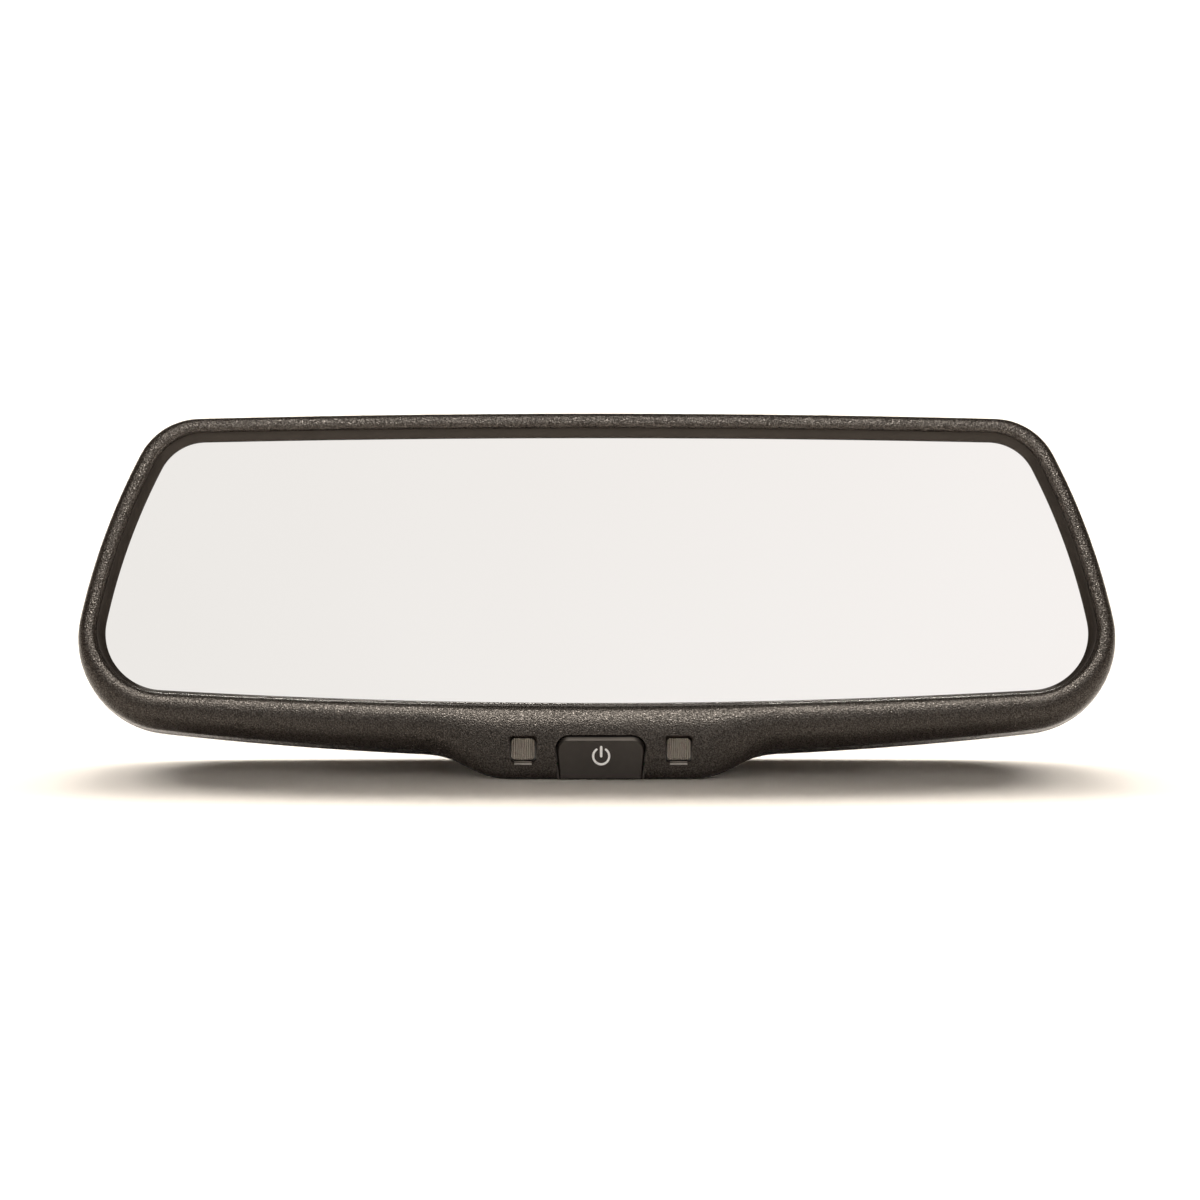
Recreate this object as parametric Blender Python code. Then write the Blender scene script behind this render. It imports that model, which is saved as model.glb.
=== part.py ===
"""Interior rear-view mirror: auto-dimming head, double-ball arm and windscreen mount.

Lengths below are in millimetres and angles in degrees. The head is drawn in its own frame
(x across, y from the glass into the housing, z up the glass) and then leans back, so that the
flat under its chin and the face of the windscreen button lie on one horizontal plane.
"""
import math
from collections import namedtuple

import bmesh
import bpy
from mathutils import Matrix, Vector

MM = 0.001
GAP = 0.3

# ---- Driving dimensions -----------------------------------------------------------------
LEAN = 18.0                 # the head leans back from upright
FRAME_Y = 65.22             # half the depth of the whole object, from the front of the bezel

# An outline is three large arcs a side (top, side, bottom) joined by two corner arcs.
Outline = namedtuple(
    "Outline", "top_z top_radius side_x side_z side_radius bottom_z bottom_radius top_corner bottom_corner")
OUTER = Outline(95.0, 3770.0, -33.4, 7.9, 168.2, 7.4, 986.0, 17.1, 23.6)
INNER = Outline(88.8, 4450.0, -30.0, 10.0, 157.7, 19.9, 1833.0, 12.5, 15.0)
BACK = Outline(81.5, 3000.0, -300.0, 40.0, 402.0, 24.0, 1500.0, 14.0, 16.0)

BEZEL_DEPTH = 9.0
CHIN_X = 1.0                # centre of the chin, its button and its two windows
CHIN_FLAT = 26.5            # half width of the chin's flat edge
CHIN_FOOT = 42.5            # half width where the chin runs out into the bezel
HOUSING_DEPTH = 34.0
HOUSING_WALL = 2.2
BACK_WALL_GROW = -1.5

LIP_GROW = 2.3              # width of the smooth lip round the glass
LIP_DEPTH = 3.4
RECESS_GROW = 2.6
GLASS_GROW = 2.1
GLASS_THICK = 1.6
GLASS_Y = 3.7
SEAL_WIDTH = 2.4
SEAL_THICK = 0.3
PAD_THICK = 0.8
CARRIER_THICK = 1.5

BUTTON_TOP = 10.95
BUTTON_HALF_TOP = 11.2
BUTTON_HALF_BOTTOM = 10.5
BUTTON_BOTTOM = 0.75
WINDOW_X = 19.7             # distance of each sensor window from the chin's centre
WINDOW_Z = 7.9
WINDOW_HALF_X = 3.0
WINDOW_HALF_Z = 2.7
WINDOW_Y = 0.9
POCKET_Y = 3.6
POCKET_HALF = 25.5
POCKET_BOTTOM = 4.6
POCKET_TOP = 18.0

BALL_RADIUS = 7.5
LINER_INNER = 7.8
LINER_OUTER = 9.3
SOCKET_RADIUS = 9.6
MOUTH_RADIUS = 7.6
MOUTH_REACH = 7.5
NECK_RADIUS = 3.0
TUBE_RADIUS = 11.0
TUBE_BORE = 7.5
TUBE_WAIST = 9.4
ARM_LENGTH = 42.0           # from ball centre to ball centre
ARM_DROP = 30.0             # the arm's angle below the horizontal, from head to foot
FOOT_STEM_DROP = 50.0
HEAD_BALL = Vector((0.0, 48.0, 62.0))

PLATE_Y = 27.2
PLATE_THICK = 2.2
PLATE_HOLES = [(x, z) for x in (-17.0, 17.0) for z in (50.0, 73.0)]
HOUSING_HOLES = [(x, z) for x in (-72.0, 72.0) for z in (35.0, 66.0)]
CARRIER_HOLES = [(-60.0, 15.0), (60.0, 15.0)]
BOARD_HOLES = [(-52.0, 38.0), (52.0, 38.0)]
BOARD_Y = 12.8
BOARD_THICK = 1.6
SOCKET_X = -38.0
PIPE_X = 38.0
PORT_Z = 34.0
SHOE_FRONT = 106.0
SHOE_BACK = 130.0
SHOE_TOP = 8.0
SHOE_HALF = 13.0

ROUND = 24                  # sides of a large turned piece
SMALL_ROUND = 12            # sides of a screw or a small hole

# ---- Materials: base colour, metallic, roughness ------------------------------------------
FINISHES = {
    "textured_plastic": ((0.022, 0.018, 0.016), 0.0, 0.55),
    "satin_plastic": ((0.012, 0.011, 0.010), 0.0, 0.32),
    "lens_plastic": ((0.14, 0.12, 0.095), 0.0, 0.35),
    "clear_plastic": ((0.75, 0.78, 0.80), 0.0, 0.12),
    "liner_plastic": ((0.55, 0.53, 0.48), 0.0, 0.45),
    "inner_plastic": ((0.05, 0.05, 0.05), 0.0, 0.5),
    "clear_glass": ((0.85, 0.88, 0.87), 0.0, 0.03),
    "mirror_glass": ((0.86, 0.87, 0.88), 1.0, 0.02),
    "foam": ((0.10, 0.10, 0.11), 0.0, 0.9),
    "seal_epoxy": ((0.30, 0.29, 0.26), 0.0, 0.6),
    "circuit_laminate": ((0.02, 0.12, 0.05), 0.0, 0.45),
    "steel": ((0.45, 0.45, 0.46), 1.0, 0.35),
    "dark_steel": ((0.10, 0.10, 0.11), 1.0, 0.4),
    "zinc": ((0.35, 0.35, 0.36), 1.0, 0.45),
}


def clear_scene():
    for item in list(bpy.data.objects):
        bpy.data.objects.remove(item, do_unlink=True)


def finish(name):
    material = bpy.data.materials.get(name)
    if material is None:
        colour, metallic, roughness = FINISHES[name]
        material = bpy.data.materials.new(name)
        material.use_nodes = True
        shader = material.node_tree.nodes["Principled BSDF"]
        shader.inputs["Base Color"].default_value = (*colour, 1.0)
        shader.inputs["Metallic"].default_value = metallic
        shader.inputs["Roughness"].default_value = roughness
    return material


def frame(name, location, rotation_x=0.0):
    """An empty that places one group of pieces; location in millimetres."""
    empty = bpy.data.objects.new(name, None)
    empty.location = Vector(location) * MM
    empty.rotation_euler = (math.radians(rotation_x), 0.0, 0.0)
    bpy.context.scene.collection.objects.link(empty)
    return empty


def place(name, shape, material, parent, origin=(0.0, 0.0, 0.0), smooth=True):
    """Turns a bmesh in millimetres into a named object under its group's empty."""
    origin = Vector(origin)
    bmesh.ops.recalc_face_normals(shape, faces=shape.faces)
    bmesh.ops.translate(shape, vec=-origin, verts=shape.verts)
    bmesh.ops.scale(shape, vec=(MM, MM, MM), verts=shape.verts)
    mesh = bpy.data.meshes.new(name)
    shape.to_mesh(mesh)
    shape.free()
    mesh.materials.append(finish(material))
    if smooth:
        mesh.shade_smooth()
        mesh.set_sharp_from_angle(angle=math.radians(35.0))
    item = bpy.data.objects.new(name, mesh)
    bpy.context.scene.collection.objects.link(item)
    item.parent = parent
    item.location = origin * MM
    return item


def tool(name, shape, parent):
    """A cutter or an added lump: guide geometry that a Boolean reads."""
    item = place(name, shape, "steel", parent, smooth=False)
    item.hide_render = True
    item.display_type = "WIRE"
    return item


def combine(item, other, operation):
    step = item.modifiers.new(other.name, "BOOLEAN")
    step.operation = operation
    step.solver = "EXACT"
    step.object = other


# ---- Solids ---------------------------------------------------------------------------------
def loft(rows, ring=False):
    """Skin over rows of points; a ring joins its last row to its first, else both ends close."""
    shape = bmesh.new()
    lines = [[shape.verts.new(point) for point in row] for row in rows]
    pairs = list(zip(lines, lines[1:]))
    if ring:
        pairs.append((lines[-1], lines[0]))
    else:
        shape.faces.new(lines[0])
        shape.faces.new(lines[-1])
    for near, far in pairs:
        for i in range(len(near)):
            j = (i + 1) % len(near)
            shape.faces.new((near[i], near[j], far[j], far[i]))
    return shape


def box(x_low, x_high, y_low, y_high, z_low, z_high):
    corners = ((x_low, z_low), (x_high, z_low), (x_high, z_high), (x_low, z_high))
    return loft([[Vector((x, y, z)) for x, z in corners] for y in (y_low, y_high)])


def turned(profile, sides, axis="Z", centre=(0.0, 0.0, 0.0), ring=False):
    """Turns (radius, height) points about an axis through centre. A zero radius closes an end."""
    turn = Matrix.Rotation(math.radians(-90.0), 3, "X") if axis == "Y" else Matrix.Identity(3)
    shape = bmesh.new()
    rows = []
    for radius, height in profile:
        if radius == 0.0:
            rows.append([shape.verts.new(turn @ Vector((0.0, 0.0, height)) + Vector(centre))])
            continue
        row = []
        for k in range(sides):
            angle = 2.0 * math.pi * k / sides
            point = Vector((radius * math.cos(angle), radius * math.sin(angle), height))
            row.append(shape.verts.new(turn @ point + Vector(centre)))
        rows.append(row)
    pairs = list(zip(rows, rows[1:]))
    if ring:
        pairs.append((rows[-1], rows[0]))
    for near, far in pairs:
        for k in range(sides):
            quad = [near[k % len(near)], near[(k + 1) % len(near)], far[(k + 1) % len(far)], far[k % len(far)]]
            shape.faces.new(list(dict.fromkeys(quad)))
    return shape


def joined(shapes):
    """Several separate shapes as one, for a single Boolean."""
    whole = bmesh.new()
    for shape in shapes:
        mesh = bpy.data.meshes.new("piece")
        shape.to_mesh(mesh)
        shape.free()
        whole.from_mesh(mesh)
        bpy.data.meshes.remove(mesh)
    return whole


def sphere_points(radius, start, end, count, centre=0.0):
    """(radius, height) points on a sphere, from angle start to end, measured from its +height pole."""
    points = []
    for k in range(count + 1):
        angle = math.radians(start + (end - start) * k / count)
        points.append((max(radius * math.sin(angle), 0.0), centre + radius * math.cos(angle)))
    return points


def rod(x, z, radius, y_low, y_high, sides=SMALL_ROUND):
    profile = [(0.0, y_low), (radius, y_low), (radius, y_high), (0.0, y_high)]
    return turned(profile, sides, "Y", (x, 0.0, z))


def screw(name, x, z, head_y, head_radius, head_thick, shank_radius, tip_y, parent):
    """A pan-head screw driven in from behind, its head seated at head_y."""
    profile = [
        (0.0, tip_y), (shank_radius * 0.5, tip_y), (shank_radius, tip_y + 1.0), (shank_radius, head_y),
        (head_radius, head_y), (head_radius, head_y + head_thick * 0.5),
        (head_radius * 0.75, head_y + head_thick), (0.0, head_y + head_thick)]
    return place(name, turned(profile, SMALL_ROUND, "Y", (x, 0.0, z)), "dark_steel", parent)


# ---- The head's outlines ----------------------------------------------------------------------
def corner_centre(centre_a, reach_a, centre_b, reach_b):
    """The point at reach_a from one centre and reach_b from the other, on the +x side."""
    span = centre_b - centre_a
    along = (reach_a ** 2 - reach_b ** 2 + span.length_squared) / (2.0 * span.length)
    aside = math.sqrt(reach_a ** 2 - along ** 2)
    middle = centre_a + span.normalized() * along
    normal = Vector((-span.y, span.x)).normalized() * aside
    return max((middle + normal, middle - normal), key=lambda point: point.x)


def arc(centre, radius, start, end, count):
    """Points after the first on an arc between two directions, given as vectors."""
    first = math.atan2(start.y, start.x)
    last = math.atan2(end.y, end.x)
    angles = [first + (last - first) * k / count for k in range(1, count + 1)]
    return [centre + Vector((math.cos(a), math.sin(a))) * radius for a in angles]


def half_outline(shape, grow):
    """The +x half of an outline offset outwards by grow, from top centre to bottom centre."""
    top = Vector((0.0, shape.top_z - shape.top_radius))
    side = Vector((shape.side_x, shape.side_z))
    bottom = Vector((0.0, shape.bottom_z + shape.bottom_radius))
    upper = corner_centre(top, shape.top_radius - shape.top_corner, side, shape.side_radius - shape.top_corner)
    lower = corner_centre(
        bottom, shape.bottom_radius - shape.bottom_corner, side, shape.side_radius - shape.bottom_corner)
    points = [Vector((0.0, shape.top_z + grow))]
    points += arc(top, shape.top_radius + grow, Vector((0.0, 1.0)), upper - top, 4)
    points += arc(upper, shape.top_corner + grow, upper - top, upper - side, 5)
    points += arc(side, shape.side_radius + grow, upper - side, lower - side, 6)
    points += arc(lower, shape.bottom_corner + grow, lower - side, lower - bottom, 6)
    stations = [(points[-1].x, CHIN_FOOT + 2.0, 3), (CHIN_FOOT + 2.0, CHIN_FLAT - 1.0, 7), (CHIN_FLAT - 1.0, 0.0, 2)]
    reach = shape.bottom_radius + grow
    for start, end, count in stations:
        for k in range(1, count + 1):
            x = start + (end - start) * k / count
            points.append(Vector((x, bottom.y - math.sqrt(reach ** 2 - x ** 2))))
    return points


def outline(shape, grow):
    half = half_outline(shape, grow)
    return half + [Vector((-point.x, point.y)) for point in half[-2:0:-1]]


def mixed(loop_a, loop_b, share):
    return [a.lerp(b, share) for a, b in zip(loop_a, loop_b)]


def chin_share(x):
    """How much of the chin a point at x has: 1 along its flat edge, falling to 0 in an S-curve."""
    reach = (CHIN_FOOT - abs(x - CHIN_X)) / (CHIN_FOOT - CHIN_FLAT)
    reach = min(max(reach, 0.0), 1.0)
    return reach * reach * (3.0 - 2.0 * reach)


def with_chin(loop, y, chin_z, amount=1.0):
    """Places a loop at depth y and draws its lower edge down to chin_z round the chin."""
    row = []
    for point in loop:
        share = chin_share(point.x) * amount if point.y < 30.0 else 0.0
        row.append(Vector((point.x, y, point.y + (chin_z - point.y) * share)))
    return row


def flat_row(loop, y):
    return [Vector((point.x, y, point.y)) for point in loop]


def under_chin(y):
    """Height of the resting plane in the leaning head's own frame."""
    return y * math.tan(math.radians(LEAN))


# ---- The head's shells ------------------------------------------------------------------------
def make_bezel(head):
    rows = []
    for grow, y in ((0.0, BEZEL_DEPTH), (0.0, 4.6), (-0.4, 2.6), (-1.4, 1.2)):
        rows.append(with_chin(outline(OUTER, grow), y, max(under_chin(y), -0.4 * grow)))
    crown = outline(INNER, LIP_GROW)
    for share, y in ((0.30, 0.45), (0.65, 0.05)):
        edge = with_chin(outline(OUTER, -1.4), y, 0.6)
        rows.append([a.lerp(Vector((b.x, y, b.y)), share) for a, b in zip(edge, crown)])
    for grow, y in ((LIP_GROW + 0.4, 0.0), (LIP_GROW, 0.4), (LIP_GROW, 0.9), (0.0, 2.8), (0.0, LIP_DEPTH),
                    (RECESS_GROW, LIP_DEPTH), (RECESS_GROW, BEZEL_DEPTH)):
        rows.append(flat_row(outline(INNER, grow), y))
    bezel = place("bezel", loft(rows, ring=True), "textured_plastic", head)

    pocket = box(CHIN_X - POCKET_HALF, CHIN_X + POCKET_HALF, POCKET_Y, BEZEL_DEPTH + 1.0, POCKET_BOTTOM, POCKET_TOP)
    combine(bezel, tool("pocket_cutter", pocket, head), "DIFFERENCE")
    top = BUTTON_HALF_TOP + GAP
    bottom = BUTTON_HALF_BOTTOM + GAP
    slot = [(-bottom, -2.0), (bottom, -2.0), (bottom, 0.0), (top, BUTTON_TOP + GAP), (-top, BUTTON_TOP + GAP),
            (-bottom, 0.0)]
    rows = [[Vector((CHIN_X + x, y, z)) for x, z in slot] for y in (-1.0, POCKET_Y + 0.2)]
    combine(bezel, tool("button_slot_cutter", loft(rows), head), "DIFFERENCE")
    holes = [rod(x, z, 1.7, 3.5, BEZEL_DEPTH + 1.0) for x, z in CARRIER_HOLES]
    for side in (-1.0, 1.0):
        x = CHIN_X + side * WINDOW_X
        holes.append(box(x - WINDOW_HALF_X - 0.5, x + WINDOW_HALF_X + 0.5, -1.0, POCKET_Y + 0.2,
                         WINDOW_Z - WINDOW_HALF_Z - 0.7, WINDOW_Z + WINDOW_HALF_Z + 0.5))
    combine(bezel, tool("bezel_hole_cutter", joined(holes), head), "DIFFERENCE")


def housing_rows(grow, back_grow, depth, chin_lift, steps=6):
    """Rows of the housing's dome from its rim to its flat back."""
    rows = []
    rim = BEZEL_DEPTH + GAP
    for k in range(steps + 1):
        angle = math.radians(90.0 * k / steps)
        y = rim + (depth - rim) * math.sin(angle)
        loop = mixed(outline(OUTER, grow), outline(BACK, back_grow), 1.0 - math.cos(angle))
        amount = max(0.0, 1.0 - (y - rim) / (HOUSING_DEPTH - rim) * 1.2)
        rows.append(with_chin(loop, y, under_chin(y) + chin_lift, amount))
    return rows


def make_housing(head):
    inside = housing_rows(-HOUSING_WALL, BACK_WALL_GROW, HOUSING_DEPTH - HOUSING_WALL, 2.0)
    outside = housing_rows(0.0, 0.0, HOUSING_DEPTH, 0.0)
    housing = place("rear_housing", loft(inside[::-1] + outside), "textured_plastic", head)
    cuts = [rod(HEAD_BALL.x, HEAD_BALL.z, 12.5, 28.0, 38.0, ROUND),
            box(SOCKET_X - 7.6, SOCKET_X + 7.6, 28.0, 38.0, PORT_Z - 4.6, PORT_Z + 4.6),
            rod(PIPE_X, PORT_Z, 3.0, 28.0, 38.0)]
    seat = HOUSING_DEPTH - 1.2
    stepped_hole = [(0.0, 28.0), (1.8, 28.0), (1.8, seat), (3.6, seat), (3.6, 38.0), (0.0, 38.0)]
    cuts += [turned(stepped_hole, SMALL_ROUND, "Y", (x, 0.0, z)) for x, z in HOUSING_HOLES]
    combine(housing, tool("housing_cutter", joined(cuts), head), "DIFFERENCE")


# ---- The mirror element ---------------------------------------------------------------------------
def slab(name, grow, y, thick, material, head):
    rows = [flat_row(outline(INNER, grow), depth) for depth in (y, y + thick)]
    return place(name, loft(rows), material, head)


def make_element(head):
    slab("front_glass", GLASS_GROW, GLASS_Y, GLASS_THICK, "clear_glass", head)
    y = GLASS_Y + GLASS_THICK + GAP
    rows = [flat_row(outline(INNER, grow), depth)
            for grow, depth in ((GLASS_GROW - 1.0, y), (GLASS_GROW - 1.0, y + SEAL_THICK),
                                (GLASS_GROW - 1.0 - SEAL_WIDTH, y + SEAL_THICK), (GLASS_GROW - 1.0 - SEAL_WIDTH, y))]
    place("cell_seal", loft(rows, ring=True), "seal_epoxy", head)
    y += SEAL_THICK + GAP
    slab("rear_mirror_glass", GLASS_GROW, y, GLASS_THICK, "mirror_glass", head)
    y += GLASS_THICK + GAP
    slab("foam_pad", -3.0, y, PAD_THICK, "foam", head)


def make_carrier(head):
    """Moulded plate behind the glass, with posts for the boards, the steel plate and the housing."""
    near = BEZEL_DEPTH + GAP
    far = near + CARRIER_THICK
    carrier = slab("carrier_plate", 1.5, near, CARRIER_THICK, "inner_plastic", head)
    lumps = [box(x - 5.0, x + 5.0, near + 0.2, far - 0.2, z - 2.6, z + 8.0) for x, z in CARRIER_HOLES]
    lumps += [rod(x, z, 4.0, near + 0.5, HOUSING_DEPTH - HOUSING_WALL - GAP) for x, z in HOUSING_HOLES]
    lumps += [rod(x, z, 3.6, near + 0.5, PLATE_Y - GAP) for x, z in PLATE_HOLES]
    lumps += [rod(x, z, 3.0, near + 0.5, BOARD_Y - GAP) for x, z in BOARD_HOLES]
    combine(carrier, tool("carrier_posts", joined(lumps), head), "UNION")
    bores = [rod(x, z, 1.7, near - 1.0, far + 1.0) for x, z in CARRIER_HOLES]
    bores += [rod(x, z, 1.7, 22.0, HOUSING_DEPTH) for x, z in HOUSING_HOLES]
    bores += [rod(x, z, 1.7, 19.0, PLATE_Y + 0.5) for x, z in PLATE_HOLES]
    bores += [rod(x, z, 1.5, near - 1.0, BOARD_Y + 0.5) for x, z in BOARD_HOLES]
    combine(carrier, tool("carrier_bores", joined(bores), head), "DIFFERENCE")


# ---- The chin's button and windows --------------------------------------------------------------------
def stepped(outlines):
    """Stacked slabs round the chin's centre; rows are (low half, high half, z low, z high, y low, y high)."""
    rows = []
    for half_low, half_high, z_low, z_high, y_low, y_high in outlines:
        corners = ((-half_low, y_low, z_low), (half_low, y_low, z_low),
                   (half_high, y_high, z_high), (-half_high, y_high, z_high))
        rows.append([Vector((CHIN_X + x, y, z)) for x, y, z in corners])
    return loft(rows)


def make_button(head):
    cap = (BUTTON_HALF_BOTTOM, BUTTON_HALF_TOP)
    shape = stepped([
        (cap[0] - 0.5, cap[1] - 0.6, BUTTON_BOTTOM + 0.4, BUTTON_TOP - 0.9, 0.95, 0.1),
        (cap[0] - 0.1, cap[1] - 0.1, BUTTON_BOTTOM, BUTTON_TOP - 0.1, 1.45, 0.7),
        (*cap, BUTTON_BOTTOM + 0.1, BUTTON_TOP, 1.7, 1.1),
        (*cap, BUTTON_BOTTOM + 0.9, BUTTON_TOP, 2.4, 2.4),
        (9.0, 9.0, 5.2, 9.6, 2.4, 2.4), (9.0, 9.0, 5.2, 9.6, 3.9, 3.9),
        (13.2, 13.2, 5.2, 12.4, 3.9, 3.9), (13.2, 13.2, 5.2, 12.4, 4.8, 4.8)])
    place("power_button", shape, "satin_plastic", head, (CHIN_X, 0.0, BUTTON_TOP / 2.0))


def make_windows(head):
    for name, side in (("left_sensor_window", -1.0), ("right_sensor_window", 1.0)):
        x = CHIN_X + side * WINDOW_X
        rows = []
        for half_x, low, high, y in (
                (WINDOW_HALF_X - 0.2, WINDOW_HALF_Z - 0.2, WINDOW_HALF_Z - 0.2, WINDOW_Y),
                (WINDOW_HALF_X, WINDOW_HALF_Z, WINDOW_HALF_Z, WINDOW_Y + 0.2),
                (WINDOW_HALF_X, WINDOW_HALF_Z, WINDOW_HALF_Z, POCKET_Y + GAP),
                (4.3, 2.5, 4.6, POCKET_Y + GAP), (4.3, 2.5, 4.6, POCKET_Y + GAP + 0.9)):
            corners = ((-half_x, -low), (half_x, -low), (half_x, high), (-half_x, high))
            rows.append([Vector((x + a, y, WINDOW_Z + b)) for a, b in corners])
        place(name, loft(rows), "lens_plastic", head)


# ---- Electronics ------------------------------------------------------------------------------------------
def make_electronics(head):
    button_board = box(CHIN_X - 24.0, CHIN_X + 24.0, 7.6, 8.6, 5.0, 16.6)
    place("button_board", button_board, "circuit_laminate", head)
    switch = stepped([(1.8, 1.8, 6.2, 9.8, 5.9, 5.9), (1.8, 1.8, 6.2, 9.8, 6.3, 6.3),
                      (3.1, 3.1, 4.9, 11.1, 6.3, 6.3), (3.1, 3.1, 4.9, 11.1, 7.3, 7.3)])
    place("tact_switch", switch, "inner_plastic", head)
    for name, side, material in (("glare_sensor", -1.0, "inner_plastic"), ("status_led", 1.0, "clear_plastic")):
        x = CHIN_X + side * WINDOW_X
        place(name, box(x - 2.0, x + 2.0, 5.3, 7.3, WINDOW_Z - 2.0, WINDOW_Z + 2.0), material, head)
    header = box(CHIN_X - 12.0, CHIN_X + 12.0, 8.9, BOARD_Y - GAP, 12.9, 16.4)
    place("board_header", header, "inner_plastic", head)

    board = place("main_board", box(-58.0, 58.0, BOARD_Y, BOARD_Y + BOARD_THICK, 12.6, 44.0), "circuit_laminate", head)
    holes = [rod(x, z, 1.6, BOARD_Y - 1.0, BOARD_Y + BOARD_THICK + 1.0) for x, z in BOARD_HOLES]
    combine(board, tool("board_hole_cutter", joined(holes), head), "DIFFERENCE")
    top = BOARD_Y + BOARD_THICK + GAP
    socket = place("connector_socket", box(SOCKET_X - 7.2, SOCKET_X + 7.2, top, 33.4, PORT_Z - 4.2, PORT_Z + 4.2),
                   "inner_plastic", head)
    mouth = box(SOCKET_X - 5.8, SOCKET_X + 5.8, 24.0, 35.0, PORT_Z - 1.9, PORT_Z + 1.9)
    combine(socket, tool("socket_mouth_cutter", mouth, head), "DIFFERENCE")
    place("ambient_sensor", box(PIPE_X - 2.2, PIPE_X + 2.2, top, top + 2.0, PORT_Z - 2.2, PORT_Z + 2.2),
          "clear_plastic", head)
    pipe = [(0.0, 17.4), (2.6, 17.4), (2.6, HOUSING_DEPTH + GAP), (4.3, HOUSING_DEPTH + GAP),
            (4.3, HOUSING_DEPTH + 0.8), (3.0, HOUSING_DEPTH + 1.5), (0.0, HOUSING_DEPTH + 1.9)]
    place("ambient_light_pipe", turned(pipe, ROUND, "Y", (PIPE_X, 0.0, PORT_Z)), "clear_plastic", head)


# ---- The head's mounting plate and screws --------------------------------------------------------------------
def make_head_mount(head):
    plate = place("mount_plate", box(-23.5, 23.5, PLATE_Y, PLATE_Y + PLATE_THICK, 45.0, 78.0), "steel", head)
    holes = [(x, z, 1.8) for x, z in PLATE_HOLES] + [(HEAD_BALL.x, HEAD_BALL.z, 4.3)]
    rods = [rod(x, z, radius, PLATE_Y - 1.0, PLATE_Y + PLATE_THICK + 1.0) for x, z, radius in holes]
    combine(plate, tool("plate_hole_cutter", joined(rods), head), "DIFFERENCE")
    near = PLATE_Y - GAP
    far = PLATE_Y + PLATE_THICK + GAP
    neck_angle = math.degrees(math.asin(NECK_RADIUS / BALL_RADIUS))
    stud = [(0.0, near - 1.8), (5.6, near - 1.8), (6.4, near - 0.9), (6.4, near), (4.0, near), (4.0, far),
            (10.0, far), (10.0, far + 1.2), (6.2, far + 2.2), (NECK_RADIUS, far + 7.5)]
    stud += sphere_points(BALL_RADIUS, 180.0 - neck_angle, 0.0, 9, HEAD_BALL.y)
    place("head_ball_stud", turned(stud, ROUND, "Y", (HEAD_BALL.x, 0.0, HEAD_BALL.z)), "zinc", head,
          HEAD_BALL)
    for k, (x, z) in enumerate(PLATE_HOLES, 1):
        screw(f"plate_screw_{k}", x, z, far, 2.8, 1.5, 1.4, 19.6, head)
    for k, (x, z) in enumerate(HOUSING_HOLES, 1):
        screw(f"housing_screw_{k}", x, z, HOUSING_DEPTH - 0.9, 3.2, 1.6, 1.4, 22.6, head)
    for k, (x, z) in enumerate(CARRIER_HOLES, 1):
        screw(f"carrier_screw_{k}", x, z, BEZEL_DEPTH + GAP + CARRIER_THICK + GAP, 2.4, 1.4, 1.3, 4.2, head)
    for k, (x, z) in enumerate(BOARD_HOLES, 1):
        screw(f"board_screw_{k}", x, z, BOARD_Y + BOARD_THICK + GAP, 2.6, 1.4, 1.2, BEZEL_DEPTH + GAP, head)


# ---- The arm: its frame has +z from the foot ball to the head ball -----------------------------------------------
def make_arm(arm):
    mouth = math.degrees(math.asin(MOUTH_RADIUS / SOCKET_RADIUS))
    bore = math.degrees(math.asin(TUBE_BORE / SOCKET_RADIUS))
    end = ARM_LENGTH
    profile = [(MOUTH_RADIUS + 0.8, -MOUTH_REACH)]
    profile += sphere_points(SOCKET_RADIUS, 180.0 - mouth, bore, 7)
    profile += sphere_points(SOCKET_RADIUS, 180.0 - bore, mouth, 7, end)
    profile += [(MOUTH_RADIUS + 0.8, end + MOUTH_REACH), (9.7, end + MOUTH_REACH), (10.7, end + MOUTH_REACH - 0.8),
                (TUBE_RADIUS, end + 4.0), (TUBE_RADIUS, end - 7.0), (TUBE_WAIST, end - 12.0), (TUBE_WAIST, 12.0),
                (TUBE_RADIUS, 7.0), (TUBE_RADIUS, -4.0), (10.7, 0.8 - MOUTH_REACH), (9.7, -MOUTH_REACH)]
    place("arm_tube", turned(profile, ROUND, ring=True), "satin_plastic", arm)

    for name, centre, inward in (("foot_seat_cup", 0.0, 0.0), ("head_seat_cup", end, 180.0)):
        rim = abs(inward - 72.0)
        cup = sphere_points(LINER_OUTER, inward, rim, 5, centre) + sphere_points(LINER_INNER, rim, inward, 5, centre)
        place(name, turned(cup, ROUND), "liner_plastic", arm, (0.0, 0.0, centre))
    for name, centre, near, far in (("foot_seat_ring", 0.0, 92.0, 122.0), ("head_seat_ring", end, 58.0, 88.0)):
        band = sphere_points(LINER_OUTER, near, far, 3, centre) + sphere_points(LINER_INNER, far, near, 3, centre)
        place(name, turned(band, ROUND, ring=True), "liner_plastic", arm, (0.0, 0.0, centre))
    make_spring(arm)


def make_spring(arm):
    coil_radius = 5.4
    wire = 0.8
    turns = 6
    steps = 12 * turns
    low = LINER_OUTER + wire + GAP
    high = ARM_LENGTH - low
    curve = bpy.data.curves.new("arm_spring", "CURVE")
    curve.dimensions = "3D"
    curve.bevel_depth = wire * MM
    curve.bevel_resolution = 1
    curve.use_fill_caps = True
    line = curve.splines.new("POLY")
    line.points.add(steps)
    for k, point in enumerate(line.points):
        angle = 2.0 * math.pi * k * turns / steps
        height = low + (high - low) * k / steps
        point.co = (coil_radius * math.cos(angle) * MM, coil_radius * math.sin(angle) * MM, height * MM, 1.0)
    spring = bpy.data.objects.new("arm_spring", curve)
    spring.data.materials.append(finish("steel"))
    bpy.context.scene.collection.objects.link(spring)
    spring.parent = arm


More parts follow.
